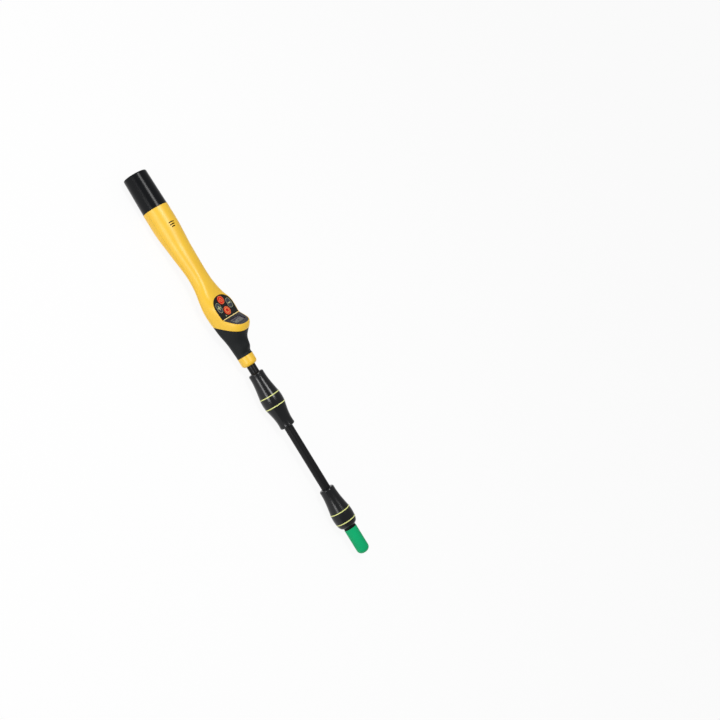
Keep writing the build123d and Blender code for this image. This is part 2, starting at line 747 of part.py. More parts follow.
def joint_edge(shell):
    """The outer edge of a shell where it meets the nose."""
    return shell.faces().filter_by(NOSE_JOINT).edges().filter_by(GeomType.BSPLINE).sort_by(SortBy.LENGTH)[-1]


# Front shell: cavity, bosses, overlay recesses, key holes, display opening and speaker slots
with BuildPart() as front_bosses:
    with BuildSketch(level_plane(0)):
        with Locations(*SHELL_SCREWS):
            Circle(FRONT_BOSS_RADIUS)
            Circle(SHELL_SCREW_RADIUS + SLIP / 2, mode=Mode.SUBTRACT)
    extrude(amount=HOOD_FRONT)
    with BuildSketch(level_plane(SHELL_SCREW_GRIP + SHELL_SCREW_RUN_OUT)):
        with Locations(*SHELL_SCREWS):
            Circle(SHELL_SCREW_RADIUS + SLIP)
    extrude(amount=HOOD_FRONT)
    with BuildSketch(speaker_plane(SPEAKER_TOP - SPEAKER_SEAT_DEPTH)):
        with Locations((SPEAKER_STATION, 0)):
            Circle(SPEAKER_RADIUS + SLIP + SPEAKER_SEAT_WALL)
            Circle(SPEAKER_RADIUS + SLIP, mode=Mode.SUBTRACT)
    extrude(amount=BARREL_RADIUS - SPEAKER_TOP + SPEAKER_SEAT_DEPTH)
    with BuildSketch(KEYPAD.offset(-BOARD_TOP)):
        with Locations(*POSTS):
            Circle(POST_RADIUS)
            Circle(BOARD_SCREW_RADIUS + SLIP / 2, mode=Mode.SUBTRACT)
    extrude(amount=BOARD_TOP)
    add(body_half(1, WALL / 2), mode=Mode.INTERSECT)
    add(under_faces(PANEL_THICKNESS - WALL / 4), mode=Mode.INTERSECT)

with BuildPart() as front_shell:
    add(body_half(1, 0))
    add(under_faces(0), mode=Mode.INTERSECT)
    rims = front_shell.faces().filter_by(KEYPAD) + front_shell.faces().filter_by(DISPLAY)
    fillet(rims.edges().filter_by(GeomType.BSPLINE), RIM_ROUND)
    add(body_half(1, WALL, overrun=SHAPE_OVERRUN) & under_faces(PANEL_THICKNESS), mode=Mode.SUBTRACT)
    add(neck_rib())
    add(front_bosses.part)
    split(bisect_by=PARTING, keep=Keep.TOP)
    split(bisect_by=NOSE_JOINT, keep=Keep.BOTTOM)
    fillet(joint_edge(front_shell), JOINT_ROUND)
    add(keypad_recess(OVERLAY_RIM, BARREL_RADIUS), mode=Mode.SUBTRACT)
    add(display_recess(OVERLAY_RIM, BARREL_RADIUS), mode=Mode.SUBTRACT)
    with BuildSketch(KEYPAD):
        for key in KEYS:
            key_outline(key, MOVING_GAP)
    extrude(amount=-PANEL_THICKNESS - WALL, mode=Mode.SUBTRACT)
    with BuildSketch(DISPLAY.offset(-LENS_FOOT)):
        with Locations((WINDOW_PLACE, 0)):
            RectangleRounded(LENS_LENGTH + 2 * SLIP, LENS_WIDTH + 2 * SLIP, WINDOW_ROUND)
    extrude(amount=LENS_FOOT, mode=Mode.SUBTRACT)
    with BuildSketch(DISPLAY):
        with Locations((WINDOW_PLACE, 0)):
            RectangleRounded(WINDOW_LENGTH, WINDOW_WIDTH, WINDOW_ROUND)
    extrude(amount=-PANEL_THICKNESS - WALL, mode=Mode.SUBTRACT)
    with BuildSketch(speaker_plane(SPEAKER_TOP + SLIP)):
        for number, reach in enumerate(SLOT_HALF_LENGTHS):
            apex = SPEAKER_STATION + SLOT_PITCH * (number - (len(SLOT_HALF_LENGTHS) - 1) / 2)
            with BuildLine(mode=Mode.PRIVATE):
                bow = SLOT_BOW_RADIUS - (SLOT_BOW_RADIUS**2 - reach**2) ** 0.5
                curve = ThreePointArc((apex + bow, -reach), (apex, 0), (apex + bow, reach))
            SlotArc(curve, SLOT_WIDTH)
    extrude(amount=BARREL_RADIUS, mode=Mode.SUBTRACT)
save(front_shell.part, "front_shell")

# Rear shell: cavity, screw bosses and head recesses
with BuildPart() as rear_bosses:
    with BuildSketch(level_plane(0)):
        with Locations(*SHELL_SCREWS):
            Circle(REAR_BOSS_RADIUS)
    extrude(amount=-BARREL_RADIUS)
    add(body_half(-1, WALL / 2), mode=Mode.INTERSECT)

with BuildPart() as rear_shell:
    add(body_half(-1, 0))
    add(body_half(-1, WALL, overrun=SHAPE_OVERRUN), mode=Mode.SUBTRACT)
    add(neck_rib())
    add(rear_bosses.part)
    split(bisect_by=PARTING, keep=Keep.BOTTOM)
    split(bisect_by=NOSE_JOINT, keep=Keep.BOTTOM)
    fillet(joint_edge(rear_shell), JOINT_ROUND)
    with BuildSketch(level_plane(0)):
        with Locations(*SHELL_SCREWS):
            Circle(SHELL_SCREW_RADIUS + SLIP)
    extrude(amount=-BARREL_RADIUS, mode=Mode.SUBTRACT)
    with BuildSketch(level_plane(-SHELL_SCREW_SEAT)):
        with Locations(*SHELL_SCREWS):
            Circle(SHELL_SCREW_HEAD_RADIUS + MOVING_GAP)
    extrude(amount=-BARREL_RADIUS, mode=Mode.SUBTRACT)
save(rear_shell.part, "rear_shell")

# Shell screws
with BuildPart() as shell_screws:
    with BuildSketch(level_plane(-SHELL_SCREW_SEAT)):
        with Locations(*SHELL_SCREWS):
            Circle(SHELL_SCREW_HEAD_RADIUS)
    extrude(amount=-SHELL_SCREW_HEAD)
    with BuildSketch(level_plane(-SHELL_SCREW_SEAT)):
        with Locations(*SHELL_SCREWS):
            Circle(SHELL_SCREW_RADIUS)
    extrude(amount=SHELL_SCREW_SEAT + SHELL_SCREW_GRIP)
save(shell_screws.part, "shell_screws")

# Keypad overlay, with a hole round each key
with BuildPart() as keypad_overlay:
    add(keypad_recess(OVERLAY_RIM + PRINT_GAP, 0))
    with BuildSketch(KEYPAD):
        for key in KEYS:
            key_outline(key, MOVING_GAP)
    extrude(amount=-2 * OVERLAY_THICKNESS, mode=Mode.SUBTRACT)
save(keypad_overlay.part, "keypad_overlay")

# Keys: a cap through the panel, a flange under it and a stem over its switch
for key in KEYS:
    with BuildPart() as key_piece:
        with BuildSketch(KEYPAD.offset(-KEY_FLANGE_TOP)):
            key_outline(key, 0)
        extrude(amount=KEY_FLANGE_TOP + KEY_STAND)
        fillet(key_piece.faces().sort_by(Axis.Z)[-1].edges(), KEY_EDGE_ROUND)
        with BuildSketch(KEYPAD.offset(-KEY_FLANGE_FOOT)):
            key_outline(key, KEY_FLANGE)
        extrude(amount=KEY_FLANGE_THICKNESS)
        with BuildSketch(KEYPAD.offset(-KEY_FOOT)):
            with Locations(key_spot(key)):
                Circle(KEY_STEM_RADIUS)
        extrude(amount=KEY_STEM_LENGTH)
    save(key_piece.part, key)

# Key switches on the main board
with BuildPart() as key_switches:
    with BuildSketch(KEYPAD.offset(-BOARD_TOP)):
        with Locations(*[key_spot(key) for key in KEYS]):
            RectangleRounded(SWITCH_SIZE, SWITCH_SIZE, SLIP)
    extrude(amount=SWITCH_BODY)
    with BuildSketch(KEYPAD.offset(-BOARD_TOP + SWITCH_BODY)):
        with Locations(*[key_spot(key) for key in KEYS]):
            Circle(SWITCH_PLUNGER_RADIUS)
    extrude(amount=SWITCH_PLUNGER)
save(key_switches.part, "key_switches")

# Main board under the keypad, held by four screws from below
with BuildPart() as main_board:
    with BuildSketch(KEYPAD.offset(-BOARD_FOOT)):
        with Locations((BOARD_MIDDLE, 0)):
            Rectangle(BOARD_LENGTH, BOARD_WIDTH)
            Rectangle(BOARD_WING_LENGTH, BOARD_WING_WIDTH)
        with Locations(*POSTS):
            Circle(BOARD_SCREW_RADIUS + SLIP, mode=Mode.SUBTRACT)
    extrude(amount=BOARD_THICKNESS)
save(main_board.part, "main_board")

with BuildPart() as board_screws:
    with BuildSketch(KEYPAD.offset(-BOARD_FOOT)):
        with Locations(*POSTS):
            Circle(BOARD_SCREW_HEAD_RADIUS)
    extrude(amount=-BOARD_SCREW_HEAD)
    with BuildSketch(KEYPAD.offset(-BOARD_FOOT)):
        with Locations(*POSTS):
            Circle(BOARD_SCREW_RADIUS)
    extrude(amount=BOARD_SCREW_LENGTH)
save(board_screws.part, "board_screws")

# Socket under the main board that takes the antenna lead
with BuildPart() as antenna_socket:
    with BuildSketch(KEYPAD.offset(-BOARD_FOOT)):
        with Locations((-BOARD_START - SOCKET_LENGTH / 2, 0)):
            Rectangle(SOCKET_LENGTH, SOCKET_WIDTH)
    extrude(amount=-SOCKET_HEIGHT)
save(antenna_socket.part, "antenna_socket")


def display_plate(length, width, corner, foot, top):
    """A rounded plate under the display face, from one depth to another."""
    with BuildPart() as plate:
        with BuildSketch(DISPLAY.offset(-foot)):
            with Locations((WINDOW_PLACE, 0)):
                RectangleRounded(length, width, corner)
        extrude(amount=foot - top)
    return plate.part


# Display overlay with its window opening
with BuildPart() as display_overlay:
    add(display_recess(OVERLAY_RIM + PRINT_GAP, 0))
    with BuildSketch(DISPLAY):
        with Locations((WINDOW_PLACE, 0)):
            RectangleRounded(WINDOW_LENGTH, WINDOW_WIDTH, WINDOW_ROUND)
    extrude(amount=-2 * OVERLAY_THICKNESS, mode=Mode.SUBTRACT)
save(display_overlay.part, "display_overlay")

with BuildPart() as display_window:
    add(display_plate(LENS_LENGTH, LENS_WIDTH, WINDOW_ROUND, LENS_FOOT, LENS_TOP))
save(display_window.part, "display_window")

with BuildPart() as display_glass:
    add(display_plate(LENS_LENGTH, LENS_WIDTH, WINDOW_ROUND, GLASS_FOOT, GLASS_TOP))
save(display_glass.part, "display_glass")

with BuildPart() as display_frame:
    add(display_plate(FRAME_LENGTH, FRAME_WIDTH, DISPLAY_FRAME_ROUND, GLASS_FOOT, GLASS_TOP))
    inner = display_plate(LENS_LENGTH + 2 * SLIP, LENS_WIDTH + 2 * SLIP, WINDOW_ROUND, GLASS_FOOT, GLASS_TOP)
    add(inner, mode=Mode.SUBTRACT)
save(display_frame.part, "display_frame")

display_board_foot = GLASS_FOOT + BOARD_THICKNESS
with BuildPart() as display_board:
    add(display_plate(FRAME_LENGTH, FRAME_WIDTH, DISPLAY_FRAME_ROUND, display_board_foot, GLASS_FOOT))
save(display_board.part, "display_board")

# Speaker: a flanged basket with a magnet, held in its seat by a ring
with BuildPart() as speaker:
    with BuildSketch(speaker_plane(SPEAKER_TOP)):
        with Locations((SPEAKER_STATION, 0)):
            Circle(SPEAKER_RADIUS)
    extrude(amount=-SPEAKER_FLANGE)
    with BuildSketch(speaker_plane(SPEAKER_TOP - SPEAKER_FLANGE)):
        with Locations((SPEAKER_STATION, 0)):
            Circle(SPEAKER_MAGNET_RADIUS)
    extrude(amount=-SPEAKER_DEPTH + SPEAKER_FLANGE)
save(speaker.part, "speaker")

with BuildPart() as speaker_ring:
    with BuildSketch(speaker_plane(SPEAKER_TOP - SPEAKER_FLANGE)):
        with Locations((SPEAKER_STATION, 0)):
            Circle(SPEAKER_RADIUS)
            Circle(SPEAKER_RADIUS - SPEAKER_SEAT_WALL, mode=Mode.SUBTRACT)
    extrude(amount=-SPEAKER_RING)
save(speaker_ring.part, "speaker_ring")

# Nose cone: a thin cone with a lip into the head, a socket for the mast and a spigot for the collar
lip_outside = WALL + NOSE_LIP_GAP
lip_inside = lip_outside + NOSE_LIP_WALL
with BuildPart() as nose_cone:
    add(nose_form(NOSE_STEP))
    add(nose_form(NOSE_STEP + NOSE_WALL), mode=Mode.SUBTRACT)
    split(bisect_by=NOSE_JOINT.offset(NOSE_SEAL), keep=Keep.TOP)
    add(nose_ring(NOSE_STEP + NOSE_WALL / 2, lip_inside, NOSE_SEAL, NOSE_LIP_ROOT))
    add(nose_ring(lip_outside, lip_inside, -NOSE_LIP, NOSE_LIP_ROOT))
    add(turned([
        (MAST_START, MAST_RADIUS + SLIP),
        (MAST_START, MAST_RADIUS + MAST_SOCKET_WALL),
        (NOSE_END - NOSE_WEB, MAST_RADIUS + MAST_SOCKET_WALL),
        (NOSE_END - NOSE_WEB, NOSE_END_RADIUS - NOSE_STEP - NOSE_WALL / 2),
        (NOSE_END, NOSE_END_RADIUS - NOSE_STEP - NOSE_WALL / 2),
        (NOSE_END, COLLAR_SPIGOT_RADIUS),
        (NOSE_END + COLLAR_SPIGOT, COLLAR_SPIGOT_RADIUS),
        (NOSE_END + COLLAR_SPIGOT, MAST_RADIUS + SLIP),
    ]))
    with BuildSketch(Plane(origin=(START_X + NOSE_END + PIN_PLACE, 0, AXIS_HEIGHT), z_dir=(0, 1, 0))):
        Circle(PIN_RADIUS + SLIP / 2)
    extrude(amount=COLLAR_RADIUS, mode=Mode.SUBTRACT)
save(nose_cone.part, "nose_cone")

# Seal between the head and the nose
with BuildPart() as nose_seal:
    add(nose_ring(2 * NOSE_STEP, WALL - NOSE_LIP_GAP, 0, NOSE_SEAL))
save(nose_seal.part, "nose_seal")

# Collar ring that closes the nose round the mast
collar_cup = NOSE_END + COLLAR_LENGTH - COLLAR_END_WALL
with BuildPart() as collar_ring:
    add(turned([
        (NOSE_END, COLLAR_SPIGOT_RADIUS + SLIP),
        (NOSE_END, COLLAR_RADIUS),
        (COLLAR_END, COLLAR_RADIUS),
        (COLLAR_END, MAST_RADIUS + SLIP),
        (collar_cup, MAST_RADIUS + SLIP),
        (collar_cup, COLLAR_SPIGOT_RADIUS + SLIP),
    ]))
    rim = collar_ring.edges().filter_by(GeomType.CIRCLE).group_by(Axis.X)[-1].sort_by(SortBy.RADIUS)[-1]
    fillet(rim, COLLAR_END_ROUND)
save(collar_ring.part, "collar_ring")

# Seal in the collar, round the mast
with BuildPart() as mast_seal:
    with BuildSketch(station_plane(NOSE_END + COLLAR_SPIGOT)):
        Circle(COLLAR_SPIGOT_RADIUS)
        Circle(MAST_RADIUS + SLIP, mode=Mode.SUBTRACT)
    extrude(amount=COLLAR_LENGTH - COLLAR_END_WALL - COLLAR_SPIGOT)
save(mast_seal.part, "mast_seal")

# Mast tube, with a hole for its pin
with BuildPart() as mast_tube:
    with BuildSketch(station_plane(MAST_START)):
        Circle(MAST_RADIUS)
        Circle(MAST_RADIUS - MAST_WALL, mode=Mode.SUBTRACT)
    extrude(amount=MAST_END - MAST_START)
    with BuildSketch(Plane(origin=(START_X + NOSE_END + PIN_PLACE, 0, AXIS_HEIGHT), z_dir=(0, 1, 0))):
        Circle(PIN_RADIUS + SLIP / 2)
    extrude(amount=COLLAR_RADIUS, mode=Mode.SUBTRACT)
save(mast_tube.part, "mast_tube")

# Pin that locks the mast in the nose, hidden under the collar
with BuildPart() as mast_pin:
    pin_plane = Plane(origin=(START_X + NOSE_END + PIN_PLACE, 0, AXIS_HEIGHT), z_dir=(0, 1, 0))
    with BuildSketch(pin_plane.offset(MAST_RADIUS - MAST_WALL)):
        Circle(PIN_RADIUS)
    extrude(amount=COLLAR_SPIGOT_RADIUS - MAST_RADIUS + MAST_WALL - SLIP)
save(mast_pin.part, "mast_pin")


def bell(centre, side):
    """One bell of a bulb: its mouth round the mast, its wide end on the band."""
    def at(reach, radius):
        return (centre + side * reach, radius)

    mouth = BULB_FRONT_LENGTH if side > 0 else BULB_REAR_LENGTH
    waist = BULB_FRONT_WAIST if side > 0 else BULB_REAR_WAIST
    step = STRIPE_END + SPIGOT_REACH
    with BuildPart() as piece:
        with BuildSketch(PROFILE):
            with BuildLine():
                Spline(
                    at(STRIPE_END, BULB_SHOULDER_RADIUS),
                    at(mix(STRIPE_END, waist, 0.4), mix(BULB_SHOULDER_RADIUS, BULB_WAIST_RADIUS, 0.42)),
                    at(waist, BULB_WAIST_RADIUS),
                    at(mouth - BULB_MOUTH_ROUND, BULB_MOUTH_RADIUS),
                )
                RadiusArc(
                    at(mouth - BULB_MOUTH_ROUND, BULB_MOUTH_RADIUS),
                    at(mouth, BULB_MOUTH_RADIUS - BULB_MOUTH_ROUND),
                    side * BULB_MOUTH_ROUND,
                )
                Polyline(
                    at(mouth, BULB_MOUTH_RADIUS - BULB_MOUTH_ROUND),
                    at(mouth, MAST_RADIUS + SLIP),
                    at(mouth - BULB_MOUTH_WALL, MAST_RADIUS + SLIP),
                    at(mouth - BULB_MOUTH_WALL, BULB_MOUTH_RADIUS - BULB_WALL),
                    at(waist, BULB_WAIST_RADIUS - BULB_WALL),
                    at(step, SPIGOT_RADIUS - SPIGOT_WALL),
                    at(step, SPIGOT_RADIUS + SLIP),
                    at(STRIPE_END, SPIGOT_RADIUS + SLIP),
                    at(STRIPE_END, BULB_SHOULDER_RADIUS),
                )
            make_face()
        revolve(axis=WAND_AXIS)
    return piece.part


def dome(centre):
    """The short round end of the lower bulb."""
    step = centre + STRIPE_END + SPIGOT_REACH
    with BuildPart() as piece:
        with BuildSketch(PROFILE):
            with BuildLine():
                Spline(
                    (centre + STRIPE_END, BULB_SHOULDER_RADIUS),
                    (centre + STRIPE_END + DOME_LENGTH, DOME_END_RADIUS),
                    tangents=((1, -DOME_START_SLOPE), (1, -DOME_END_SLOPE)),
                )
                Polyline(
                    (centre + STRIPE_END + DOME_LENGTH, DOME_END_RADIUS),
                    (centre + STRIPE_END + DOME_LENGTH, MAST_RADIUS + SLIP),
                    (step + BULB_WALL, MAST_RADIUS + SLIP),
                    (step + BULB_WALL, BOBBIN_FLANGE_RADIUS),
                    (step, BOBBIN_FLANGE_RADIUS),
                    (step, SPIGOT_RADIUS + SLIP),
                    (centre + STRIPE_END, SPIGOT_RADIUS + SLIP),
                    (centre + STRIPE_END, BULB_SHOULDER_RADIUS),
                )
            make_face()
        revolve(axis=WAND_AXIS)
    return piece.part


def band(centre):
    """The crowned middle of a bulb, with a spigot each way and a rest flat at the back."""
    step = STRIPE_END + SPIGOT_REACH - SLIP
    rest = Plane(
        origin=(START_X + centre, 0, REST_RISE),
        x_dir=(REST_RUN, 0, REST_RISE),
        z_dir=(-REST_RISE, 0, REST_RUN),
    )
    with BuildPart() as piece:
        with BuildSketch(PROFILE):
            with BuildLine():
                ThreePointArc(
                    (centre - BAND_HALF_WIDTH, BULB_STRIPE_RADIUS),
                    (centre, BULB_CREST_RADIUS),
                    (centre + BAND_HALF_WIDTH, BULB_STRIPE_RADIUS),
                )
                Polyline(
                    (centre + BAND_HALF_WIDTH, BULB_STRIPE_RADIUS),
                    (centre + BAND_HALF_WIDTH, SPIGOT_RADIUS),
                    (centre + step, SPIGOT_RADIUS),
                    (centre + step, SPIGOT_RADIUS - SPIGOT_WALL),
                    (centre - step, SPIGOT_RADIUS - SPIGOT_WALL),
                    (centre - step, SPIGOT_RADIUS),
                    (centre - BAND_HALF_WIDTH, SPIGOT_RADIUS),
                    (centre - BAND_HALF_WIDTH, BULB_STRIPE_RADIUS),
                )
            make_face()
        revolve(axis=WAND_AXIS)
        split(bisect_by=rest, keep=Keep.TOP)
    return piece.part


def stripe(start, end):
    """One pale ring between a band and its neighbour."""
    return turned([
        (start, SPIGOT_RADIUS + SLIP),
        (start, BULB_STRIPE_RADIUS),
        (mix(start, end, 0.25), BULB_STRIPE_RADIUS + STRIPE_STAND),
        (mix(start, end, 0.75), BULB_STRIPE_RADIUS + STRIPE_STAND),
        (end, BULB_STRIPE_RADIUS),
        (end, SPIGOT_RADIUS + SLIP),
    ])


def bobbin(centre):
    """The coil former on the mast."""
    core = MAST_RADIUS + SLIP + BOBBIN_CORE
    cheek = BOBBIN_HALF_LENGTH - BOBBIN_FLANGE
    return turned([
        (centre - BOBBIN_HALF_LENGTH, MAST_RADIUS + SLIP),
        (centre - BOBBIN_HALF_LENGTH, BOBBIN_FLANGE_RADIUS),
        (centre - cheek, BOBBIN_FLANGE_RADIUS),
        (centre - cheek, core),
        (centre + cheek, core),
        (centre + cheek, BOBBIN_FLANGE_RADIUS),
        (centre + BOBBIN_HALF_LENGTH, BOBBIN_FLANGE_RADIUS),
        (centre + BOBBIN_HALF_LENGTH, MAST_RADIUS + SLIP),
    ])


def winding(centre):
    """The coil's wire, as one closed ring on its former."""
    core = MAST_RADIUS + 2 * SLIP + BOBBIN_CORE
    cheek = BOBBIN_HALF_LENGTH - BOBBIN_FLANGE - SLIP
    return turned([
        (centre - cheek, core),
        (centre - cheek, WINDING_RADIUS),
        (centre + cheek, WINDING_RADIUS),
        (centre + cheek, core),
    ])


# Antenna bulbs
for bulb, centre in (("upper", UPPER_BULB), ("lower", LOWER_BULB)):
    with BuildPart() as rear_bell:
        add(bell(centre, -1))
    save(rear_bell.part, f"{bulb}_bulb_rear_bell")
    with BuildPart() as middle_band:
        add(band(centre))
    save(middle_band.part, f"{bulb}_bulb_band")
    with BuildPart() as stripe_rings:
        add(stripe(centre - STRIPE_END, centre - BAND_HALF_WIDTH))
        add(stripe(centre + BAND_HALF_WIDTH, centre + STRIPE_END))
    save(stripe_rings.part, f"{bulb}_bulb_stripes")
    with BuildPart() as coil_bobbin:
        add(bobbin(centre))
    save(coil_bobbin.part, f"{bulb}_coil_bobbin")
    with BuildPart() as coil_winding:
        add(winding(centre))
    save(coil_winding.part, f"{bulb}_coil_winding")

with BuildPart() as front_bell:
    add(bell(UPPER_BULB, 1))
save(front_bell.part, "upper_bulb_front_bell")

with BuildPart() as end_dome:
    add(dome(LOWER_BULB))
save(end_dome.part, "lower_bulb_end_dome")

# Tip plug: a spigot in the mast, a short neck and a core for the tip cap
with BuildPart() as tip_plug:
    add(turned([
        (MAST_END - TIP_SPIGOT, 0),
        (MAST_END - TIP_SPIGOT, MAST_RADIUS - MAST_WALL - SLIP),
        (MAST_END, MAST_RADIUS - MAST_WALL - SLIP),
        (MAST_END, TIP_NECK_RADIUS),
        (TIP_START, TIP_NECK_RADIUS),
        (TIP_START, TIP_CORE_RADIUS),
        (TIP_START + TIP_CORE, TIP_CORE_RADIUS),
        (TIP_START + TIP_CORE, 0),
    ]))
save(tip_plug.part, "tip_plug")

with BuildPart() as tip_cap:
    add(turned([
        (TIP_START, TIP_CORE_RADIUS + SLIP),
        (TIP_START, TIP_RADIUS),
        (TOTAL_LENGTH, TIP_RADIUS),
        (TOTAL_LENGTH, 0),
        (TIP_START + TIP_CORE + SLIP, 0),
        (TIP_START + TIP_CORE + SLIP, TIP_CORE_RADIUS + SLIP),
    ]))
    rim = tip_cap.edges().filter_by(GeomType.CIRCLE).group_by(Axis.X)[-1].sort_by(SortBy.RADIUS)[-1]
    fillet(rim, TIP_END_ROUND)
save(tip_cap.part, "tip_cap")


def lead_tube(points, radius, bend):
    """A lead along straight runs joined by arcs."""
    with BuildPart() as tube:
        with BuildLine() as route:
            FilletPolyline(*points, radius=bend)
        with BuildSketch(Plane(origin=route.line @ 0, z_dir=route.line % 0)):
            Circle(radius)
        sweep(path=route.line)
    return tube.part


# Antenna lead: along the floor of the mast, up into the head and into its socket
lead_height = AXIS_HEIGHT - (MAST_RADIUS - MAST_WALL - LEAD_RADIUS - SLIP)
socket_face = KEYPAD.from_local_coords((-BOARD_START, 0, -BOARD_FOOT - SOCKET_HEIGHT / 2))
with BuildPart() as antenna_lead:
    add(lead_tube(
        [
            (START_X + LOWER_BULB, 0, lead_height),
            (START_X + MAST_START - LEAD_RUN_OUT, 0, lead_height),
            (socket_face.X + LEAD_RUN_OUT, 0, socket_face.Z),
            (socket_face.X + 2 * SLIP, 0, socket_face.Z),
        ],
        LEAD_RADIUS,
        LEAD_BEND,
    ))
save(antenna_lead.part, "antenna_lead")

# Battery leads: a pair of wires from the contact board to the main board
wire_height = AXIS_HEIGHT - LEAD_WIRE_DEPTH
board_foot = KEYPAD.from_local_coords((-POST_FAR[0], 0, -BOARD_FOOT - 2 * SLIP))
with BuildPart() as battery_leads:
    for side in (1, -1):
        add(lead_tube(
            [
                (START_X + SHELF_START + SLIP, side * LEAD_WIRE_SPREAD, wire_height),
                (board_foot.X, side * LEAD_WIRE_SPREAD, wire_height),
                (board_foot.X, side * LEAD_WIRE_SPREAD, board_foot.Z),
            ],
            LEAD_WIRE_RADIUS,
            LEAD_WIRE_BEND,
        ))
save(battery_leads.part, "battery_leads")
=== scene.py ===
from math import cos, pi, radians, sin, tan

import bmesh
import bpy
from bpy.props import FloatProperty, FloatVectorProperty, PointerProperty
from mathutils import Matrix, Vector


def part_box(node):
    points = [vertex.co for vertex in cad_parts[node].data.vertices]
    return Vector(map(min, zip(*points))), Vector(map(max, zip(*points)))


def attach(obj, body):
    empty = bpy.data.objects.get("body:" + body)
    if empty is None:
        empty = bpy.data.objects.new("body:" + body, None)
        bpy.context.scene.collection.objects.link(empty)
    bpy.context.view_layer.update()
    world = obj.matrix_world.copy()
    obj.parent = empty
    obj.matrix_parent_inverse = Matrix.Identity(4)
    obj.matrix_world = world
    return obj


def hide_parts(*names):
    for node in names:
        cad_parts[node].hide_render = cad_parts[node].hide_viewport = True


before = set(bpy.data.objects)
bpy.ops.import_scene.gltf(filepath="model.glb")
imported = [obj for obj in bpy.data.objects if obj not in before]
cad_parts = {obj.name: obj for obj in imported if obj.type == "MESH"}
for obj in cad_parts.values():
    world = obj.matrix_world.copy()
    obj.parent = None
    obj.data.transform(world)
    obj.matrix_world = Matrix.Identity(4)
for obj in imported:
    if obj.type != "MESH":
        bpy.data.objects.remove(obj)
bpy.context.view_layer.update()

bl_info = {
    "name": "Sonde locator looks",
    "version": (1, 0, 0),
    "blender": (4, 5, 0),
    "location": "3D View > Sidebar > Locator",
    "description": "Finishes, key signs, display and stage for the sonde locator wand",
    "category": "Object",
}

MM = 0.001

# The wand's axis, and the crease between the keypad and the display, in metres and degrees
AXIS_HEIGHT = 0.023
CREASE_X = -0.09465
CREASE_Z = 0.0423
KEYPAD_LEAN = 1.7
DISPLAY_LEAN = 45.0
CREASE_FADE = (0.0005, 0.0010)

# Keys, in millimetres: places along the keypad and across it from the crease, height and size
POWER_KEY = (-11.4, 0.0)
TARGET_KEY = (-31.9, 0.0)
PLUS_KEY = (-21.3, -14.9)
MINUS_KEY = (-21.3, 14.9)
KEY_TOP = 0.7
SIDE_KEY_LENGTH = 19.3
SIDE_KEY_WIDTH = 12.5

# Print, in millimetres: radii of the round outlines, how much smaller than the key the long ones are,
# and how far a print sits in what carries it
ROUND_OUTLINE = (6.75, 7.3)
SIDE_OUTLINE_LESS = (2.1, 1.0)
KEY_PRINT_DEPTH = 0.05
FILM_PRINT_DEPTH = 0.04
MARK_DEPTH = 0.03
MARK_HEIGHT = 0.05

# Display, in millimetres up its face from the crease, across it and under it
WINDOW_PLACE = 13.4
WINDOW_WIDTH = 28.0
WINDOW_LENGTH = 15.4
GLASS_DEPTH = 2.8

# Where painted shade darkens the shell, in metres: inside the display opening and inside the speaker slots
OPENING_MARGIN = 0.0015
OPENING_TOP = -0.0007
OPENING_FOOT = -0.006
SLOT_PLACE = -0.27595
SLOT_REACH = 0.0062
SLOT_RISE = 0.012
SLOT_SKIN = 0.0216

# Shell screws: places and heights in metres, radii in millimetres
SCREW_PLACES = ((-0.24725, 0.0), (-0.17025, 0.0), (-0.13265, 0.02), (-0.13265, -0.02))
SCREW_SEAT = 0.018
SCREW_FACE = 0.0158
SCREW_END = 0.031
SHANK_RADIUS = 1.5
HEAD_RADIUS = 2.75


def tone(red, green, blue):
    """A colour as a screen shows it, 0 to 255, turned into the linear values that Blender works in."""
    shares = [value / 255 for value in (red, green, blue)]
    return tuple(s / 12.92 if s <= 0.04045 else ((s + 0.055) / 1.055) ** 2.4 for s in shares)


# Sizes and colours that a user would change


def colour(name, description, *screen):
    """A colour setting, given as a screen shows it."""
    return FloatVectorProperty(
        name=name, description=description, default=tone(*screen), subtype="COLOR", size=3, min=0, max=1)


class HousingSettings(bpy.types.PropertyGroup):
    yellow: colour("Yellow", "Moulded yellow of the grip, head and collar", 240, 193, 42)
    deep_yellow: colour("Deep yellow", "Where the moulding is a little thinner or older", 235, 185, 34)
    # Painted highlight: the pale cream colour laid along the crease line
    wear_and_highlight: colour("Crease highlight", "Painted highlight along the crease between the keypad and the display", 249, 228, 156)
    crease: FloatProperty(name="Crease", description="Half length of the painted highlight along the crease",
                          default=0.0212, min=0, unit="LENGTH")
    seam: FloatProperty(name="Seam", description="Half width of the line between the two shells",
                        default=0.00014, min=0, unit="LENGTH")
    grain: FloatProperty(name="Grain", description="Height of the fine grain on the mouldings",
                         default=0.00004, min=0, unit="LENGTH")


class BlackSettings(bpy.types.PropertyGroup):
    cap: colour("Cap", "Satin black of the battery cap", 9, 11, 15)
    nose: colour("Nose", "Matte black of the nose cone", 26, 29, 30)
    bulb: colour("Bulbs", "Gloss black of the antenna bulbs", 8, 10, 13)
    mast: colour("Mast", "Satin black of the mast tube", 10, 10, 11)
    rubber: colour("Rubber", "Gasket, seals and leads", 17, 17, 18)


class TrimSettings(bpy.types.PropertyGroup):
    stripe: colour("Stripes", "Pale yellow rings on the bulbs", 236, 241, 150)
    tip: colour("Tip", "Green of the tip cap", 6, 171, 109)


class KeypadSettings(bpy.types.PropertyGroup):
    film: colour("Film", "Black film round the keys", 21, 21, 20)
    red: colour("Red keys", "Power and target keys", 214, 10, 8)
    grey: colour("Grey keys", "Plus and minus keys", 57, 63, 73)
    peach: colour("Peach ink", "Signs and outlines on the red keys", 238, 154, 84)
    lemon: colour("Lemon ink", "Signs and outlines on the grey keys", 176, 178, 130)
    ink: FloatProperty(name="Ink height", description="How far the printed signs stand off a key",
                       default=0.00006, min=0, unit="LENGTH")


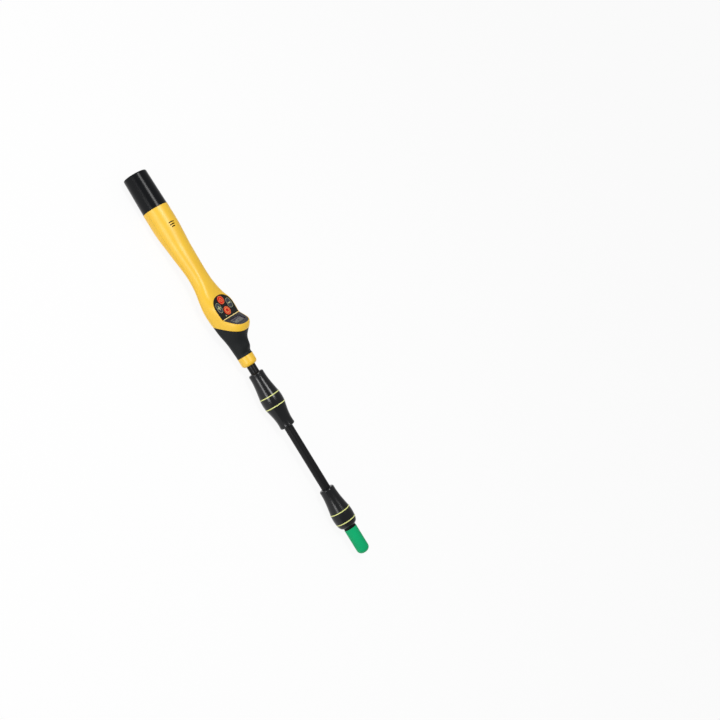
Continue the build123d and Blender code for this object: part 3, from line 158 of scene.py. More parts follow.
class DisplaySettings(bpy.types.PropertyGroup):
    # The weave's two tones: partly the film's own pattern, partly a painted highlight on the thread crowns
    # and painted shade in the gaps
    thread: colour("Thread", "Lighter threads of the woven film", 50, 51, 63)
    shade: colour("Shade", "Gaps between the threads", 12, 12, 15)
    glass: colour("Crystal", "Lit ground of the display", 151, 160, 134)
    mark: colour("Marks", "Dark figures on the display", 22, 27, 14)
    thread_length: FloatProperty(name="Thread length", description="Length of one thread between crossings",
                                 default=0.0016, min=0.0001, unit="LENGTH")
    thread_width: FloatProperty(name="Thread width", description="Width of one thread",
                                default=0.00085, min=0.0001, unit="LENGTH")


class StageSettings(bpy.types.PropertyGroup):
    floor: colour("Floor", "Pale floor under the wand", 243, 243, 243)
    lens: FloatProperty(name="Lens", description="Focal length of the camera", default=51.21, unit="CAMERA")
    distance: FloatProperty(name="Distance", description="From the camera to the wand",
                            default=1.76, unit="LENGTH")
    aim: FloatProperty(name="Aim", description="Place along the wand that the camera stands across from",
                       default=-0.10839, unit="LENGTH")
    elevation: FloatProperty(name="Elevation", description="Of the camera over the floor",
                             default=radians(40.537), subtype="ANGLE")
    pan: FloatProperty(name="Pan", description="Of the camera towards the tip",
                       default=radians(6.278), subtype="ANGLE")
    tilt: FloatProperty(name="Tilt", description="Of the camera upwards",
                        default=radians(5.381), subtype="ANGLE")
    roll: FloatProperty(name="Roll", description="Of the camera about its line of sight",
                        default=radians(58.498), subtype="ANGLE")
    front_power: FloatProperty(name="Front light", description="Power of the large front light",
                               default=12.0, unit="POWER")
    top_power: FloatProperty(name="Top light", description="Power of the narrow light overhead",
                             default=12.5, unit="POWER")
    sky: FloatProperty(name="Sky", description="Strength of the even light from all round",
                       default=0.48, min=0)


SETTINGS = {
    "locator_housing": HousingSettings,
    "locator_black": BlackSettings,
    "locator_trim": TrimSettings,
    "locator_keypad": KeypadSettings,
    "locator_display": DisplaySettings,
    "locator_stage": StageSettings,
}


# Shader nodes


class Value:
    """One output socket, with Python's operators for shader maths."""

    def __init__(self, finish, socket):
        self.finish = finish
        self.socket = socket

    def other(self, output):
        """Another output of the same node."""
        return Value(self.finish, self.socket.node.outputs[output])

    def maths(self, operation, *inputs):
        return self.finish.node("ShaderNodeMath", {"operation": operation}, dict(enumerate(inputs)))

    def __add__(self, other):
        return self.maths("ADD", self, other)

    __radd__ = __add__

    def __sub__(self, other):
        return self.maths("SUBTRACT", self, other)

    def __rsub__(self, other):
        return self.maths("SUBTRACT", other, self)

    def __mul__(self, other):
        return self.maths("MULTIPLY", self, other)

    __rmul__ = __mul__

    def __truediv__(self, other):
        return self.maths("DIVIDE", self, other)

    def __mod__(self, other):
        return self.maths("FLOORED_MODULO", self, other)

    def __abs__(self):
        return self.maths("ABSOLUTE", self)

    def __gt__(self, other):
        return self.maths("GREATER_THAN", self, other)

    def __lt__(self, other):
        return self.maths("LESS_THAN", self, other)

    def sine(self):
        return self.maths("SINE", self)

    def floor(self):
        return self.maths("FLOOR", self)

    def least(self, other):
        return self.maths("MINIMUM", self, other)

    def root(self):
        return self.maths("SQRT", self)

    def step(self, low, high):
        """0 below low, 1 above high and smooth between them."""
        return self.finish.node(
            "ShaderNodeMapRange",
            {"interpolation_type": "SMOOTHSTEP"},
            {"Value": self, "From Min": low, "From Max": high},
        )


class Finish:
    """The nodes of one material, or of the world."""

    def __init__(self, owner):
        owner.use_nodes = True
        self.owner = owner
        self.tree = owner.node_tree
        self.tree.nodes.clear()

    def node(self, kind, settings=None, sockets=None, output=0):
        made = self.tree.nodes.new(kind)
        for key, value in (settings or {}).items():
            setattr(made, key, value)
        for key, value in (sockets or {}).items():
            if isinstance(value, Value):
                self.tree.links.new(value.socket, made.inputs[key])
            else:
                made.inputs[key].default_value = value
        return Value(self, made.outputs[output] if made.outputs else None)

    def place(self):
        """Where a point is, in metres in the object's own frame."""
        return self.node("ShaderNodeTexCoord", output="Object")

    def axes(self):
        """The three parts of a point's place."""
        x = self.node("ShaderNodeSeparateXYZ", None, {"Vector": self.place()}, "X")
        return x, x.other("Y"), x.other("Z")

    def stretched(self, *scale):
        return self.node("ShaderNodeVectorMath", {"operation": "MULTIPLY"}, {0: self.place(), 1: scale})

    def distance(self, first, second):
        return self.node("ShaderNodeVectorMath", {"operation": "DISTANCE"}, {0: first, 1: second}, "Value")

    def noise(self, scale, detail=2.0, vector=None):
        sockets = {"Vector": vector or self.place(), "Scale": scale, "Detail": detail}
        return self.node("ShaderNodeTexNoise", None, sockets)

    def cells(self, scale, feature="F1", vector=None):
        sockets = {"Vector": vector or self.place(), "Scale": scale}
        return self.node("ShaderNodeTexVoronoi", {"feature": feature}, sockets)

    def mix(self, share, first, second):
        """Two colours mixed, the second by the share."""
        sockets = {0: share}
        for key, value in ((6, first), (7, second)):
            sockets[key] = value if isinstance(value, Value) else (*value, 1)
        return self.node("ShaderNodeMix", {"data_type": "RGBA"}, sockets, 2)

    def bump(self, height, distance, strength=1.0):
        sockets = {"Strength": strength, "Distance": distance, "Height": height}
        return self.node("ShaderNodeBump", None, sockets)

    def surface(self, **sockets):
        """The shader itself. A plain colour gets its alpha here."""
        named = {}
        for key, value in sockets.items():
            title = key.replace("_", " ").title().replace("Ior", "IOR")
            named[title] = (*value, 1) if isinstance(value, (tuple, list)) else value
        self.show(self.node("ShaderNodeBsdfPrincipled", None, named))
        return self.owner

    def show(self, shader, output="ShaderNodeOutputMaterial"):
        self.node(output, None, {"Surface": shader})


def finish(name):
    return Finish(bpy.data.materials.new(name))


def scaled(base, share):
    """A colour made darker, or lighter with a share over 1."""
    return tuple(value * share for value in base)


def moulding(name, base, deep, roughness, grain, spread=0.1, shine=0.5, scuff=0.1, dress=None):
    """Moulded plastic: a fine grain, a slight drift of colour and sheen, and a few handling scuffs.

    Dress is a function that changes the tint and the height of the grain in places.
    """
    f = finish(name)
    drift = f.noise(28, 3).step(0.3, 0.7)
    fleck = f.noise(900, 2)
    scratches = f.noise(1, 2, f.stretched(60, 900, 900)).step(0.62, 0.72) * f.noise(14, 1).step(0.5, 0.7)
    tint = f.mix(drift * 0.6 + fleck * 0.25, base, deep)
    height = f.noise(2600, 2) * 0.6 + f.cells(1900) * 0.4
    sheen = roughness + (fleck - 0.5) * spread + (drift - 0.5) * spread * 0.6 - scratches * scuff
    if dress:
        tint, height = dress(f, tint, height)
    return f.surface(
        base_color=tint, roughness=sheen, specular_ior_level=shine, normal=f.bump(height, grain))


def coat(names, material):
    """Gives CAD nodes a finish."""
    for name in names.split():
        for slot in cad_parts[name].material_slots:
            slot.material = material


# Meshes


class Face:
    """A flat face of the head: millimetres along it, across it and off it become places in metres."""

    def __init__(self, lean):
        self.along = Vector((cos(radians(lean)), 0, sin(radians(lean))))
        self.across = Vector((0, 1, 0))
        self.off = Vector((-sin(radians(lean)), 0, cos(radians(lean))))
        self.origin = Vector((CREASE_X, 0, CREASE_Z))

    def at(self, along, across, off):
        return self.origin + (self.along * along + self.across * across + self.off * off) * MM

    def rise(self, x, z):
        """How far along the face a point lies, in metres, as shader maths."""
        return (x - self.origin.x) * self.along.x + (z - self.origin.z) * self.along.z

    def height(self, x, z):
        """How far off the face a point lies, in metres, as shader maths."""
        return (x - self.origin.x) * self.off.x + (z - self.origin.z) * self.off.z


KEYPAD = Face(KEYPAD_LEAN)
DISPLAY = Face(DISPLAY_LEAN)


def round_points(middle, radius, start=0.0, end=360.0, steps=48):
    """Points on a circle, from one angle to the other. 0 points along the face and 90 across it."""
    whole = abs(end - start) >= 360
    count = steps if whole else steps + 1
    angles = [radians(start + (end - start) * i / steps) for i in range(count)]
    return [(middle[0] + radius * cos(a), middle[1] + radius * sin(a)) for a in angles]


def slot_points(middle, length, width, steps=24):
    """The outline of a slot that runs along the face."""
    radius = width / 2
    reach = length / 2 - radius
    ahead = round_points((middle[0] + reach, middle[1]), radius, -90, 90, steps)
    behind = round_points((middle[0] - reach, middle[1]), radius, 90, 270, steps)
    return ahead + behind


def bar_points(middle, along, across, ends=0.0, steps=8):
    """A bar with rounded corners."""
    points = []
    for quarter, (sign_a, sign_b) in enumerate(((1, 1), (-1, 1), (-1, -1), (1, -1))):
        corner = (middle[0] + sign_a * (along / 2 - ends), middle[1] + sign_b * (across / 2 - ends))
        if ends:
            points += round_points(corner, ends, 90 * quarter, 90 * quarter + 90, steps)
        else:
            points.append(corner)
    return points


class Drawing:
    """Thin raised shapes on a face, gathered into one mesh."""

    def __init__(self, face, low, high):
        self.face = face
        self.low = low
        self.high = high
        self.mesh = bmesh.new()

    def rows(self, points):
        return [
            [self.mesh.verts.new(self.face.at(a, b, off)) for a, b in points]
            for off in (self.low, self.high)
        ]

    def patch(self, outline):
        """A flat shape inside one outline."""
        low, high = self.rows(outline)
        self.mesh.faces.new(high)
        self.mesh.faces.new(low[::-1])
        for i in range(len(outline)):
            j = (i + 1) % len(outline)
            self.mesh.faces.new((low[i], low[j], high[j], high[i]))

    def band(self, left, right, closed=False):
        """A flat shape between two lines with the same number of points."""
        left_low, left_high = self.rows(left)
        right_low, right_high = self.rows(right)
        count = len(left)
        for i in range(count if closed else count - 1):
            j = (i + 1) % count
            self.mesh.faces.new((left_high[i], left_high[j], right_high[j], right_high[i]))
            self.mesh.faces.new((left_low[j], left_low[i], right_low[i], right_low[j]))
            self.mesh.faces.new((left_low[i], left_low[j], left_high[j], left_high[i]))
            self.mesh.faces.new((right_low[j], right_low[i], right_high[i], right_high[j]))
        if not closed:
            self.mesh.faces.new((left_low[0], left_high[0], right_high[0], right_low[0]))
            self.mesh.faces.new((left_low[-1], right_low[-1], right_high[-1], left_high[-1]))

    def piece(self, name, body, material):
        return piece(name, self.mesh, body, material)


def piece(name, mesh, body, material, smooth=False):
    """A bmesh turned into an object that rides on a body."""
    bmesh.ops.recalc_face_normals(mesh, faces=mesh.faces)
    data = bpy.data.meshes.new(name)
    mesh.to_mesh(data)
    mesh.free()
    data.materials.append(material)
    for polygon in data.polygons:
        polygon.use_smooth = smooth
    made = bpy.data.objects.new(name, data)
    bpy.context.scene.collection.objects.link(made)
    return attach(made, body)


# Pieces


class LOCATOR_OT_housing(bpy.types.Operator):
    """Finish the two yellow shells and the collar"""

    bl_idname = "locator.housing"
    bl_label = "Yellow housing"

    def execute(self, context):
        s = context.scene.locator_housing
        self.settings = s
        yellow, deep = tuple(s.yellow), tuple(s.deep_yellow)
        shell = moulding("yellow_shell", yellow, deep, 0.4, s.grain, shine=0.7, dress=self.shell_marks)
        coat("front_shell rear_shell", shell)
        coat("collar_ring", moulding("yellow_collar", yellow, deep, 0.38, s.grain, shine=0.7))
        return {"FINISHED"}

    def shell_marks(self, f, tint, height):
        """The seam, a painted highlight along the crease, and painted shade inside the display opening and
        the speaker slots.
        """
        s = self.settings
        x, y, z = f.axes()
        seam = 1 - abs(z - AXIS_HEIGHT).step(s.seam * 0.4, s.seam)
        tint = f.mix(seam * 0.5, tint, scaled(s.yellow, 0.2))
        crease_x, crease_z = x - CREASE_X, z - CREASE_Z
        near = (crease_x * crease_x + crease_z * crease_z).root()
        crease = (1 - near.step(*CREASE_FADE)) * (abs(y) < s.crease)
        # Painted highlight: the crease line is mixed to the pale cream colour
        tint = f.mix(crease, tint, tuple(s.wear_and_highlight))
        off = DISPLAY.height(x, z)
        sunk = (off < OPENING_TOP) * (off > OPENING_FOOT)
        up = abs(DISPLAY.rise(x, z) - WINDOW_PLACE * MM)
        window = up < WINDOW_LENGTH / 2 * MM + OPENING_MARGIN
        window = window * (abs(y) < WINDOW_WIDTH / 2 * MM + OPENING_MARGIN)
        radius = (y * y + (z - AXIS_HEIGHT) * (z - AXIS_HEIGHT)).root()
        slots = (abs(x - SLOT_PLACE) < SLOT_REACH) * (z > AXIS_HEIGHT + SLOT_RISE) * (radius < SLOT_SKIN)
        # Painted shade: the walls inside the display opening and the speaker slots are mixed to near black
        tint = f.mix((sunk * window + slots).least(1.0), tint, (0.012, 0.009, 0.006))
        return tint, height - seam * 4


class LOCATOR_OT_black(bpy.types.Operator):
    """Finish the cap, the nose, the mast and the rubber seals"""

    bl_idname = "locator.black"
    bl_label = "Black mouldings"

    def execute(self, context):
        s = context.scene.locator_black
        grain = context.scene.locator_housing.grain
        cap, nose = tuple(s.cap), tuple(s.nose)
        smooth = moulding("black_cap", cap, scaled(cap, 0.7), 0.21, grain * 0.05, spread=0.04, shine=0.19)
        coat("battery_cap", smooth)
        coat("nose_cone", moulding("black_nose", nose, scaled(nose, 0.7), 0.5, grain * 1.2, shine=0.17))
        inner = (0.012, 0.012, 0.0125)
        plain = moulding("inner_black", inner, (0.007, 0.007, 0.0075), 0.45, grain)
        coat("battery_neck battery_carrier display_frame speaker_ring antenna_socket", plain)
        coat("key_switches upper_coil_bobbin lower_coil_bobbin", plain)
        coat("mast_tube", self.drawn_tube(tuple(s.mast)))
        neck = tuple(s.mast)
        coat("tip_plug", moulding("black_neck", neck, scaled(neck, 0.7), 0.5, grain, shine=0.12))
        coat("cap_gasket nose_seal mast_seal antenna_lead", self.rubber("rubber_black", tuple(s.rubber)))
        return {"FINISHED"}

    def drawn_tube(self, base):
        f = finish("mast_black")
        draw = f.noise(1, 3, f.stretched(35, 1400, 1400))
        tint = f.mix(draw, base, scaled(base, 1.9))
        return f.surface(
            base_color=tint,
            roughness=0.27 + draw * 0.12,
            specular_ior_level=0.2,
            normal=f.bump(draw * 0.7 + f.noise(3000) * 0.3, 0.00001),
        )

    def rubber(self, name, base):
        f = finish(name)
        bloom = f.noise(160, 3).step(0.45, 0.75)
        tint = f.mix(bloom * 0.5, base, tuple(v * 2.4 + 0.004 for v in base))
        pores = f.bump(f.noise(2200, 3), 0.00004)
        return f.surface(base_color=tint, roughness=0.7 + bloom * 0.15, normal=pores)


class LOCATOR_OT_bulbs(bpy.types.Operator):
    """Finish the antenna bulbs, their stripes and the tip"""

    bl_idname = "locator.bulbs"
    bl_label = "Antenna bulbs and tip"

    def execute(self, context):
        bulb = tuple(context.scene.locator_black.bulb)
        trim = context.scene.locator_trim
        f = finish("bulb_black")
        handled = f.noise(55, 4).step(0.42, 0.68)
        peel = f.noise(420, 1)
        gloss = f.surface(
            base_color=f.mix(handled * 0.5, bulb, scaled(bulb, 0.6)),
            roughness=0.18 + handled * 0.05 + f.noise(1500) * 0.04,
            specular_ior_level=0.38,
            normal=f.bump(peel, 0.000006),
        )
        coat("upper_bulb_rear_bell upper_bulb_band upper_bulb_front_bell", gloss)
        coat("lower_bulb_rear_bell lower_bulb_band lower_bulb_end_dome", gloss)
        f = finish("stripe_yellow")
        patch = f.noise(240, 3)
        stripe = tuple(trim.stripe)
        paint = f.surface(
            base_color=f.mix(patch * 0.6, stripe, scaled(stripe, 0.86)),
            roughness=0.25 + patch * 0.15,
            normal=f.bump(f.noise(900), 0.00003),
        )
        coat("upper_bulb_stripes lower_bulb_stripes", paint)
        tip = tuple(trim.tip)
        coat("tip_cap", moulding("tip_green", tip, scaled(tip, 0.85), 0.42, 0.00002, shine=0.16))
        return {"FINISHED"}


class LOCATOR_OT_keypad(bpy.types.Operator):
    """Finish the black film round the keys and print its speaker sign"""

    bl_idname = "locator.keypad"
    bl_label = "Keypad film"

    def execute(self, context):
        s = context.scene.locator_keypad
        film = tuple(s.film)
        f = finish("overlay_black")
        pebble = f.cells(3200)
        handled = f.noise(60, 3).step(0.4, 0.7)
        coat("keypad_overlay", f.surface(
            base_color=f.mix(pebble * 0.7 + handled * 0.3, film, scaled(film, 1.5)),
            roughness=0.5 + pebble * 0.12 - handled * 0.08,
            specular_ior_level=0.2,
            normal=f.bump(pebble, 0.00003),
        ))
        ink = ink_finish("lemon_ink_film", tuple(s.lemon))
        sign = Drawing(KEYPAD, -FILM_PRINT_DEPTH, s.ink / MM)
        sign.patch(bar_points((-4.6, -7.6), 1.5, 0.8, 0.15))
        sign.patch([(-5.2, -8.25), (-6.25, -10.2), (-2.95, -10.2), (-4.0, -8.25)])
        sign.piece("speaker_sign", "handle", ink)
        return {"FINISHED"}


def ink_finish(name, base):
    """Screen-printed ink: slightly uneven, with a soft sheen."""
    f = finish(name)
    mesh = f.noise(1800, 2)
    return f.surface(
        base_color=f.mix(mesh * 0.7, base, scaled(base, 0.82)),
        roughness=0.42 + mesh * 0.2,
        normal=f.bump(mesh, 0.00002),
    )


class LOCATOR_OT_keys(bpy.types.Operator):
    """Finish the four keys and print their outlines and signs"""

    bl_idname = "locator.keys"
    bl_label = "Keys"

    def execute(self, context):
        s = context.scene.locator_keypad
        self.top = KEY_TOP + s.ink / MM
        peach = ink_finish("peach_ink", tuple(s.peach))
        lemon = ink_finish("lemon_ink", tuple(s.lemon))
        for body, spot in (("power_key", POWER_KEY), ("target_key", TARGET_KEY)):
            coat(body, self.key_finish(body + "_red", tuple(s.red), spot))
            outline = self.drawing()
            inner, outer = (round_points(spot, radius) for radius in ROUND_OUTLINE)
            outline.band(inner, outer, closed=True)
            outline.piece(body + "_outline", body, peach)
        for body, spot in (("plus_key", PLUS_KEY), ("minus_key", MINUS_KEY)):
            coat(body, self.key_finish(body + "_grey", tuple(s.grey), spot))
            outline = self.drawing()
            inner, outer = (
                slot_points(spot, SIDE_KEY_LENGTH - less, SIDE_KEY_WIDTH - less)
                for less in SIDE_OUTLINE_LESS
            )
            outline.band(inner, outer, closed=True)
            outline.piece(body + "_outline", body, lemon)
        self.power_sign(peach)
        self.target_sign(peach)
        self.minus_sign(lemon)
        self.plus_sign(lemon)
        return {"FINISHED"}

    def drawing(self):
        return Drawing(KEYPAD, KEY_TOP - KEY_PRINT_DEPTH, self.top)

    def key_finish(self, name, base, spot):
        """A satin key, rubbed a little smoother where fingers press it."""
        f = finish(name)
        middle = KEYPAD.at(*spot, KEY_TOP)
        reach = f.distance(f.place(), middle)
        wear_and_highlight = 1 - reach.step(0.001, 0.0065)
        pebble = f.cells(2600)
        tint = f.mix(pebble * 0.5 + wear_and_highlight * 0.25, base, scaled(base, 0.84))
        return f.surface(
            base_color=tint,
            roughness=0.48 + pebble * 0.12 - wear_and_highlight * 0.14,
            specular_ior_level=0.2,
            normal=f.bump(pebble, 0.00002),
        )

    def power_sign(self, ink):
        sign = self.drawing()
        middle = (POWER_KEY[0] - 0.3, POWER_KEY[1])
        gap = 24
        inner, outer = (round_points(middle, radius, gap, 360 - gap, 64) for radius in (3.6, 5.05))
        sign.band(inner, outer)
        sign.patch(bar_points((POWER_KEY[0] + 3.75, 0), 4.3, 1.6, 0.12))
        sign.piece("power_sign", "power_key", ink)

    def target_sign(self, ink):
        sign = self.drawing()
        sign.band(round_points(TARGET_KEY, 2.65), round_points(TARGET_KEY, 3.35), closed=True)
        thin = 0.38
        for start, end in ((0.45, 0.95), (1.3, 1.85), (2.0, 2.45), (3.65, 4.35), (4.75, 5.75)):
            middle, length = (start + end) / 2, end - start
            for side in (1, -1):
                sign.patch(bar_points((TARGET_KEY[0] + side * middle, 0), length, thin))
                sign.patch(bar_points((TARGET_KEY[0], side * middle), thin, length))
        sign.piece("target_sign", "target_key", ink)

    def minus_sign(self, ink):
        sign = self.drawing()
        sign.patch(bar_points(MINUS_KEY, 2.1, 7.3, 1.0))
        sign.piece("minus_sign", "minus_key", ink)

    def plus_sign(self, ink):
        sign = self.drawing()
        arm, half = 4.25, 1.0
        outline = []
        for turn in range(4):
            heading = radians(90 * turn)
            tip = (PLUS_KEY[0] + (arm - half) * cos(heading), PLUS_KEY[1] + (arm - half) * sin(heading))
            outline += round_points(tip, half, 90 * turn - 90, 90 * turn + 90, 12)
            corner = radians(90 * turn + 45)
            reach = half * 2 ** 0.5
            outline.append((PLUS_KEY[0] + reach * cos(corner), PLUS_KEY[1] + reach * sin(corner)))
        sign.patch(outline)
        sign.piece("plus_sign", "plus_key", ink)


# Which bars of a seven-bar figure each number lights: top, upper left, upper right, middle, and so on down
FIGURES = {2: "1011101", 3: "1011011", 5: "1101011", 8: "1111111"}


class LOCATOR_OT_display(bpy.types.Operator):
    """Finish the woven film, the window and the display, and draw what the display shows"""

    bl_idname = "locator.display"
    bl_label = "Display"

    def execute(self, context):
        s = context.scene.locator_display
        coat("display_overlay", self.woven_film(s))
        coat("display_window", self.window())
        coat("display_glass", self.crystal(tuple(s.glass)))
        self.marks(tuple(s.mark))
        return {"FINISHED"}

    def woven_film(self, s):
        """A plain basket weave, seen on the display's slanted face: its own two-tone pattern, with a
        painted highlight on each thread's crown and painted shade in the gaps.
        """
        f = finish("overlay_weave")
        x, y, z = f.axes()
        up = DISPLAY.rise(x, z) / s.thread_width
        across = y / s.thread_length
        row = up.floor()
        shift = (row % 2) * 0.5
        thread = (across + shift) % 1
        crown = (thread * pi).sine() * ((up % 1) * pi).sine()
        gap = crown.step(0.12, 0.62)
        uneven = f.noise(500, 2)
        # Painted highlight on each thread's crown and painted shade in the gaps, over the film's own two
        # tones
        tint = f.mix(gap * (0.62 + uneven * 0.5), tuple(s.shade), tuple(s.thread))
        return f.surface(
            base_color=tint, roughness=0.46 - gap * 0.1 + uneven * 0.1, normal=f.bump(crown, 0.00012))

    def window(self):
        f = finish("window_clear")
        glance = f.node("ShaderNodeLayerWeight", None, {"Blend": 0.4}, "Facing")
        smear = f.noise(90, 3).step(0.45, 0.8)
        return f.surface(
            # Painted reflection: the purple-grey base colour, stronger at glancing angles, stands in for
            # the surroundings reflected in the window
            base_color=(0.15, 0.12, 0.19),
            roughness=0.06 + smear * 0.08,
            alpha=0.03 + glance * 0.5 + smear * 0.03,
        )

    def crystal(self, base):
        f = finish("display_grey")
        x, y, z = f.axes()
        up = DISPLAY.rise(x, z)
        dots = ((y % 0.00035) > 0.00004) * ((up % 0.00035) > 0.00004)
        cloud = f.noise(70, 2)
        tint = f.mix(cloud * 0.5 + (1 - dots) * 0.3, base, scaled(base, 0.8))
        return f.surface(base_color=tint, roughness=0.32 + cloud * 0.08, normal=f.bump(dots, 0.00001))

    def marks(self, base):
        f = finish("display_mark")
        dots = f.noise(2600, 1)
        dark = f.surface(base_color=f.mix(dots * 0.6, base, scaled(base, 1.8)), roughness=0.4 + dots * 0.1)
        self.sheet = Drawing(DISPLAY, -GLASS_DEPTH - MARK_DEPTH, -GLASS_DEPTH + MARK_HEIGHT)
        self.battery()
        self.sound()
        self.number((3, 2), left=0.80, top=0.055, wide=0.115, high=0.155, stroke=0.016)
        self.number((5, 8), left=0.275, top=0.355, wide=0.20, high=0.255, stroke=0.034)
        self.signal()
        self.sheet.piece("display_marks", "handle", dark)

    def spot(self, right, down):
        """A point of the display, as shares of its width and height from its top left corner."""
        return (WINDOW_PLACE + WINDOW_LENGTH * (0.5 - down), WINDOW_WIDTH * (0.5 - right))

    def block(self, left, right, top, bottom):
        corners = ((left, top), (right, top), (right, bottom), (left, bottom))
        self.sheet.patch([self.spot(*corner) for corner in corners])

    def battery(self):
        self.block(0.02, 0.145, 0.06, 0.17)
        self.block(0.145, 0.205, 0.06, 0.075)
        self.block(0.145, 0.205, 0.155, 0.17)
        self.block(0.197, 0.205, 0.075, 0.155)
        self.block(0.21, 0.225, 0.09, 0.14)

    def sound(self):
        self.block(0.30, 0.318, 0.09, 0.145)
        corners = ((0.322, 0.09), (0.352, 0.05), (0.352, 0.185), (0.322, 0.145))
        self.sheet.patch([self.spot(*corner) for corner in corners])
        middle = self.spot(0.345, 0.1175)
        for radius in (1.35, 2.15):
            inner = round_points(middle, radius, -50 - 90, 50 - 90, 16)
            outer = round_points(middle, radius + 0.32, -50 - 90, 50 - 90, 16)
            self.sheet.band(inner, outer)

    def number(self, figures, left, top, wide, high, stroke):
        """Figures of seven bars each, side by side in a box."""
        each = wide / len(figures)
        thin = stroke * WINDOW_WIDTH / WINDOW_LENGTH
        for place, figure in enumerate(figures):
            start = left + each * place
            end = start + each * 0.74
            middle = top + high / 2
            foot = top + high
            bars = (
                (start + stroke, end - stroke, top, top + thin),
                (start, start + stroke, top, middle - thin * 0.2),
                (end - stroke, end, top, middle - thin * 0.2),
                (start + stroke, end - stroke, middle - thin / 2, middle + thin / 2),
                (start, start + stroke, middle + thin * 0.2, foot),
                (end - stroke, end, middle + thin * 0.2, foot),
                (start + stroke, end - stroke, foot - thin, foot),
            )
            for bar, lit in zip(bars, FIGURES[figure]):
                if lit == "1":
                    self.block(*bar)

    def signal(self):
        """A rising line, filled under it for part of the way, and a bar along the foot."""
        curve = [(0.015, 0.79), (0.16, 0.78), (0.3, 0.755), (0.42, 0.722), (0.52, 0.685), (0.6, 0.642),
                 (0.68, 0.585), (0.75, 0.515)]
        self.sheet.band([self.spot(*p) for p in curve], [self.spot(p[0], 0.885) for p in curve])
        line = [(0.752, 0.513), (0.80, 0.452), (0.85, 0.36), (0.905, 0.235), (0.985, 0.235)]
        self.sheet.band([self.spot(*p) for p in line], [self.spot(p[0] + 0.006, p[1] + 0.03) for p in line])
        self.block(0.015, 0.52, 0.935, 0.985)


class LOCATOR_OT_screws(bpy.types.Operator):
    """Make the shell screws with cross recesses, in place of the plain ones"""

    bl_idname = "locator.screws"
    bl_label = "Shell screws"

    def execute(self, context):
        mesh = bmesh.new()
        for place in SCREW_PLACES:
            self.screw(mesh, place)
        screws = piece("cross_screws", mesh, "handle", metal("screw_steel", tone(168, 170, 174), 0.34))
        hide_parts("shell_screws")
        return {"FINISHED"}

    def screw(self, mesh, place):
        """One screw, point up: shank, head and a cross recess in its face."""
        def ring(points, height):
            return [mesh.verts.new((place[0] + a * MM, place[1] + b * MM, height)) for a, b in points]

        def wall(first, second):
            for i in range(len(first)):
                j = (i + 1) % len(first)
                mesh.faces.new((first[i], first[j], second[j], second[i]))

        def edges(loop):
            return [mesh.edges.get((loop[i], loop[(i + 1) % len(loop)])) for i in range(len(loop))]

        profile = (
            (SHANK_RADIUS - 0.4, SCREW_END),
            (SHANK_RADIUS, SCREW_END - 0.6 * MM),
            (SHANK_RADIUS, SCREW_SEAT),
            (HEAD_RADIUS, SCREW_SEAT),
            (HEAD_RADIUS, SCREW_FACE + 0.5 * MM),
            (HEAD_RADIUS - 0.15, SCREW_FACE + 0.15 * MM),
            (HEAD_RADIUS - 0.55, SCREW_FACE),
        )
        outside = [ring(round_points((0, 0), radius, steps=32), height) for radius, height in profile]
        mouth = ring(self.cross(1.75, 0.42), SCREW_FACE)
        foot = ring(self.cross(1.0, 0.3), SCREW_FACE + 1.1 * MM)
        mesh.faces.new(outside[0])
        for first, second in zip(outside, outside[1:]):
            wall(first, second)
        wall(mouth, foot)
        mesh.faces.new(foot)
        bmesh.ops.triangle_fill(mesh, edges=edges(outside[-1]) + edges(mouth), use_beauty=True)

    def cross(self, reach, half):
        """The outline of a cross with straight arms."""
        points = []
        for turn in range(4):
            ahead = (cos(radians(90 * turn)), sin(radians(90 * turn)))
            beside = (-ahead[1], ahead[0])
            for along, across in ((reach, -half), (reach, half), (half, half)):
                points.append(tuple(ahead[i] * along + beside[i] * across for i in (0, 1)))
        return points


def metal(name, base, roughness, brushed=(900, 900, 900)):
    """Plated metal with fine drawing lines and a little tarnish."""
    f = finish(name)
    lines = f.noise(1, 3, f.stretched(*brushed))
    tarnish = f.noise(130, 3).step(0.5, 0.8)
    return f.surface(
        base_color=f.mix(tarnish * 0.5, base, scaled(base, 0.55)),
        metallic=1.0,
        roughness=roughness + lines * 0.12 + tarnish * 0.15,
        normal=f.bump(lines, 0.00002),
    )


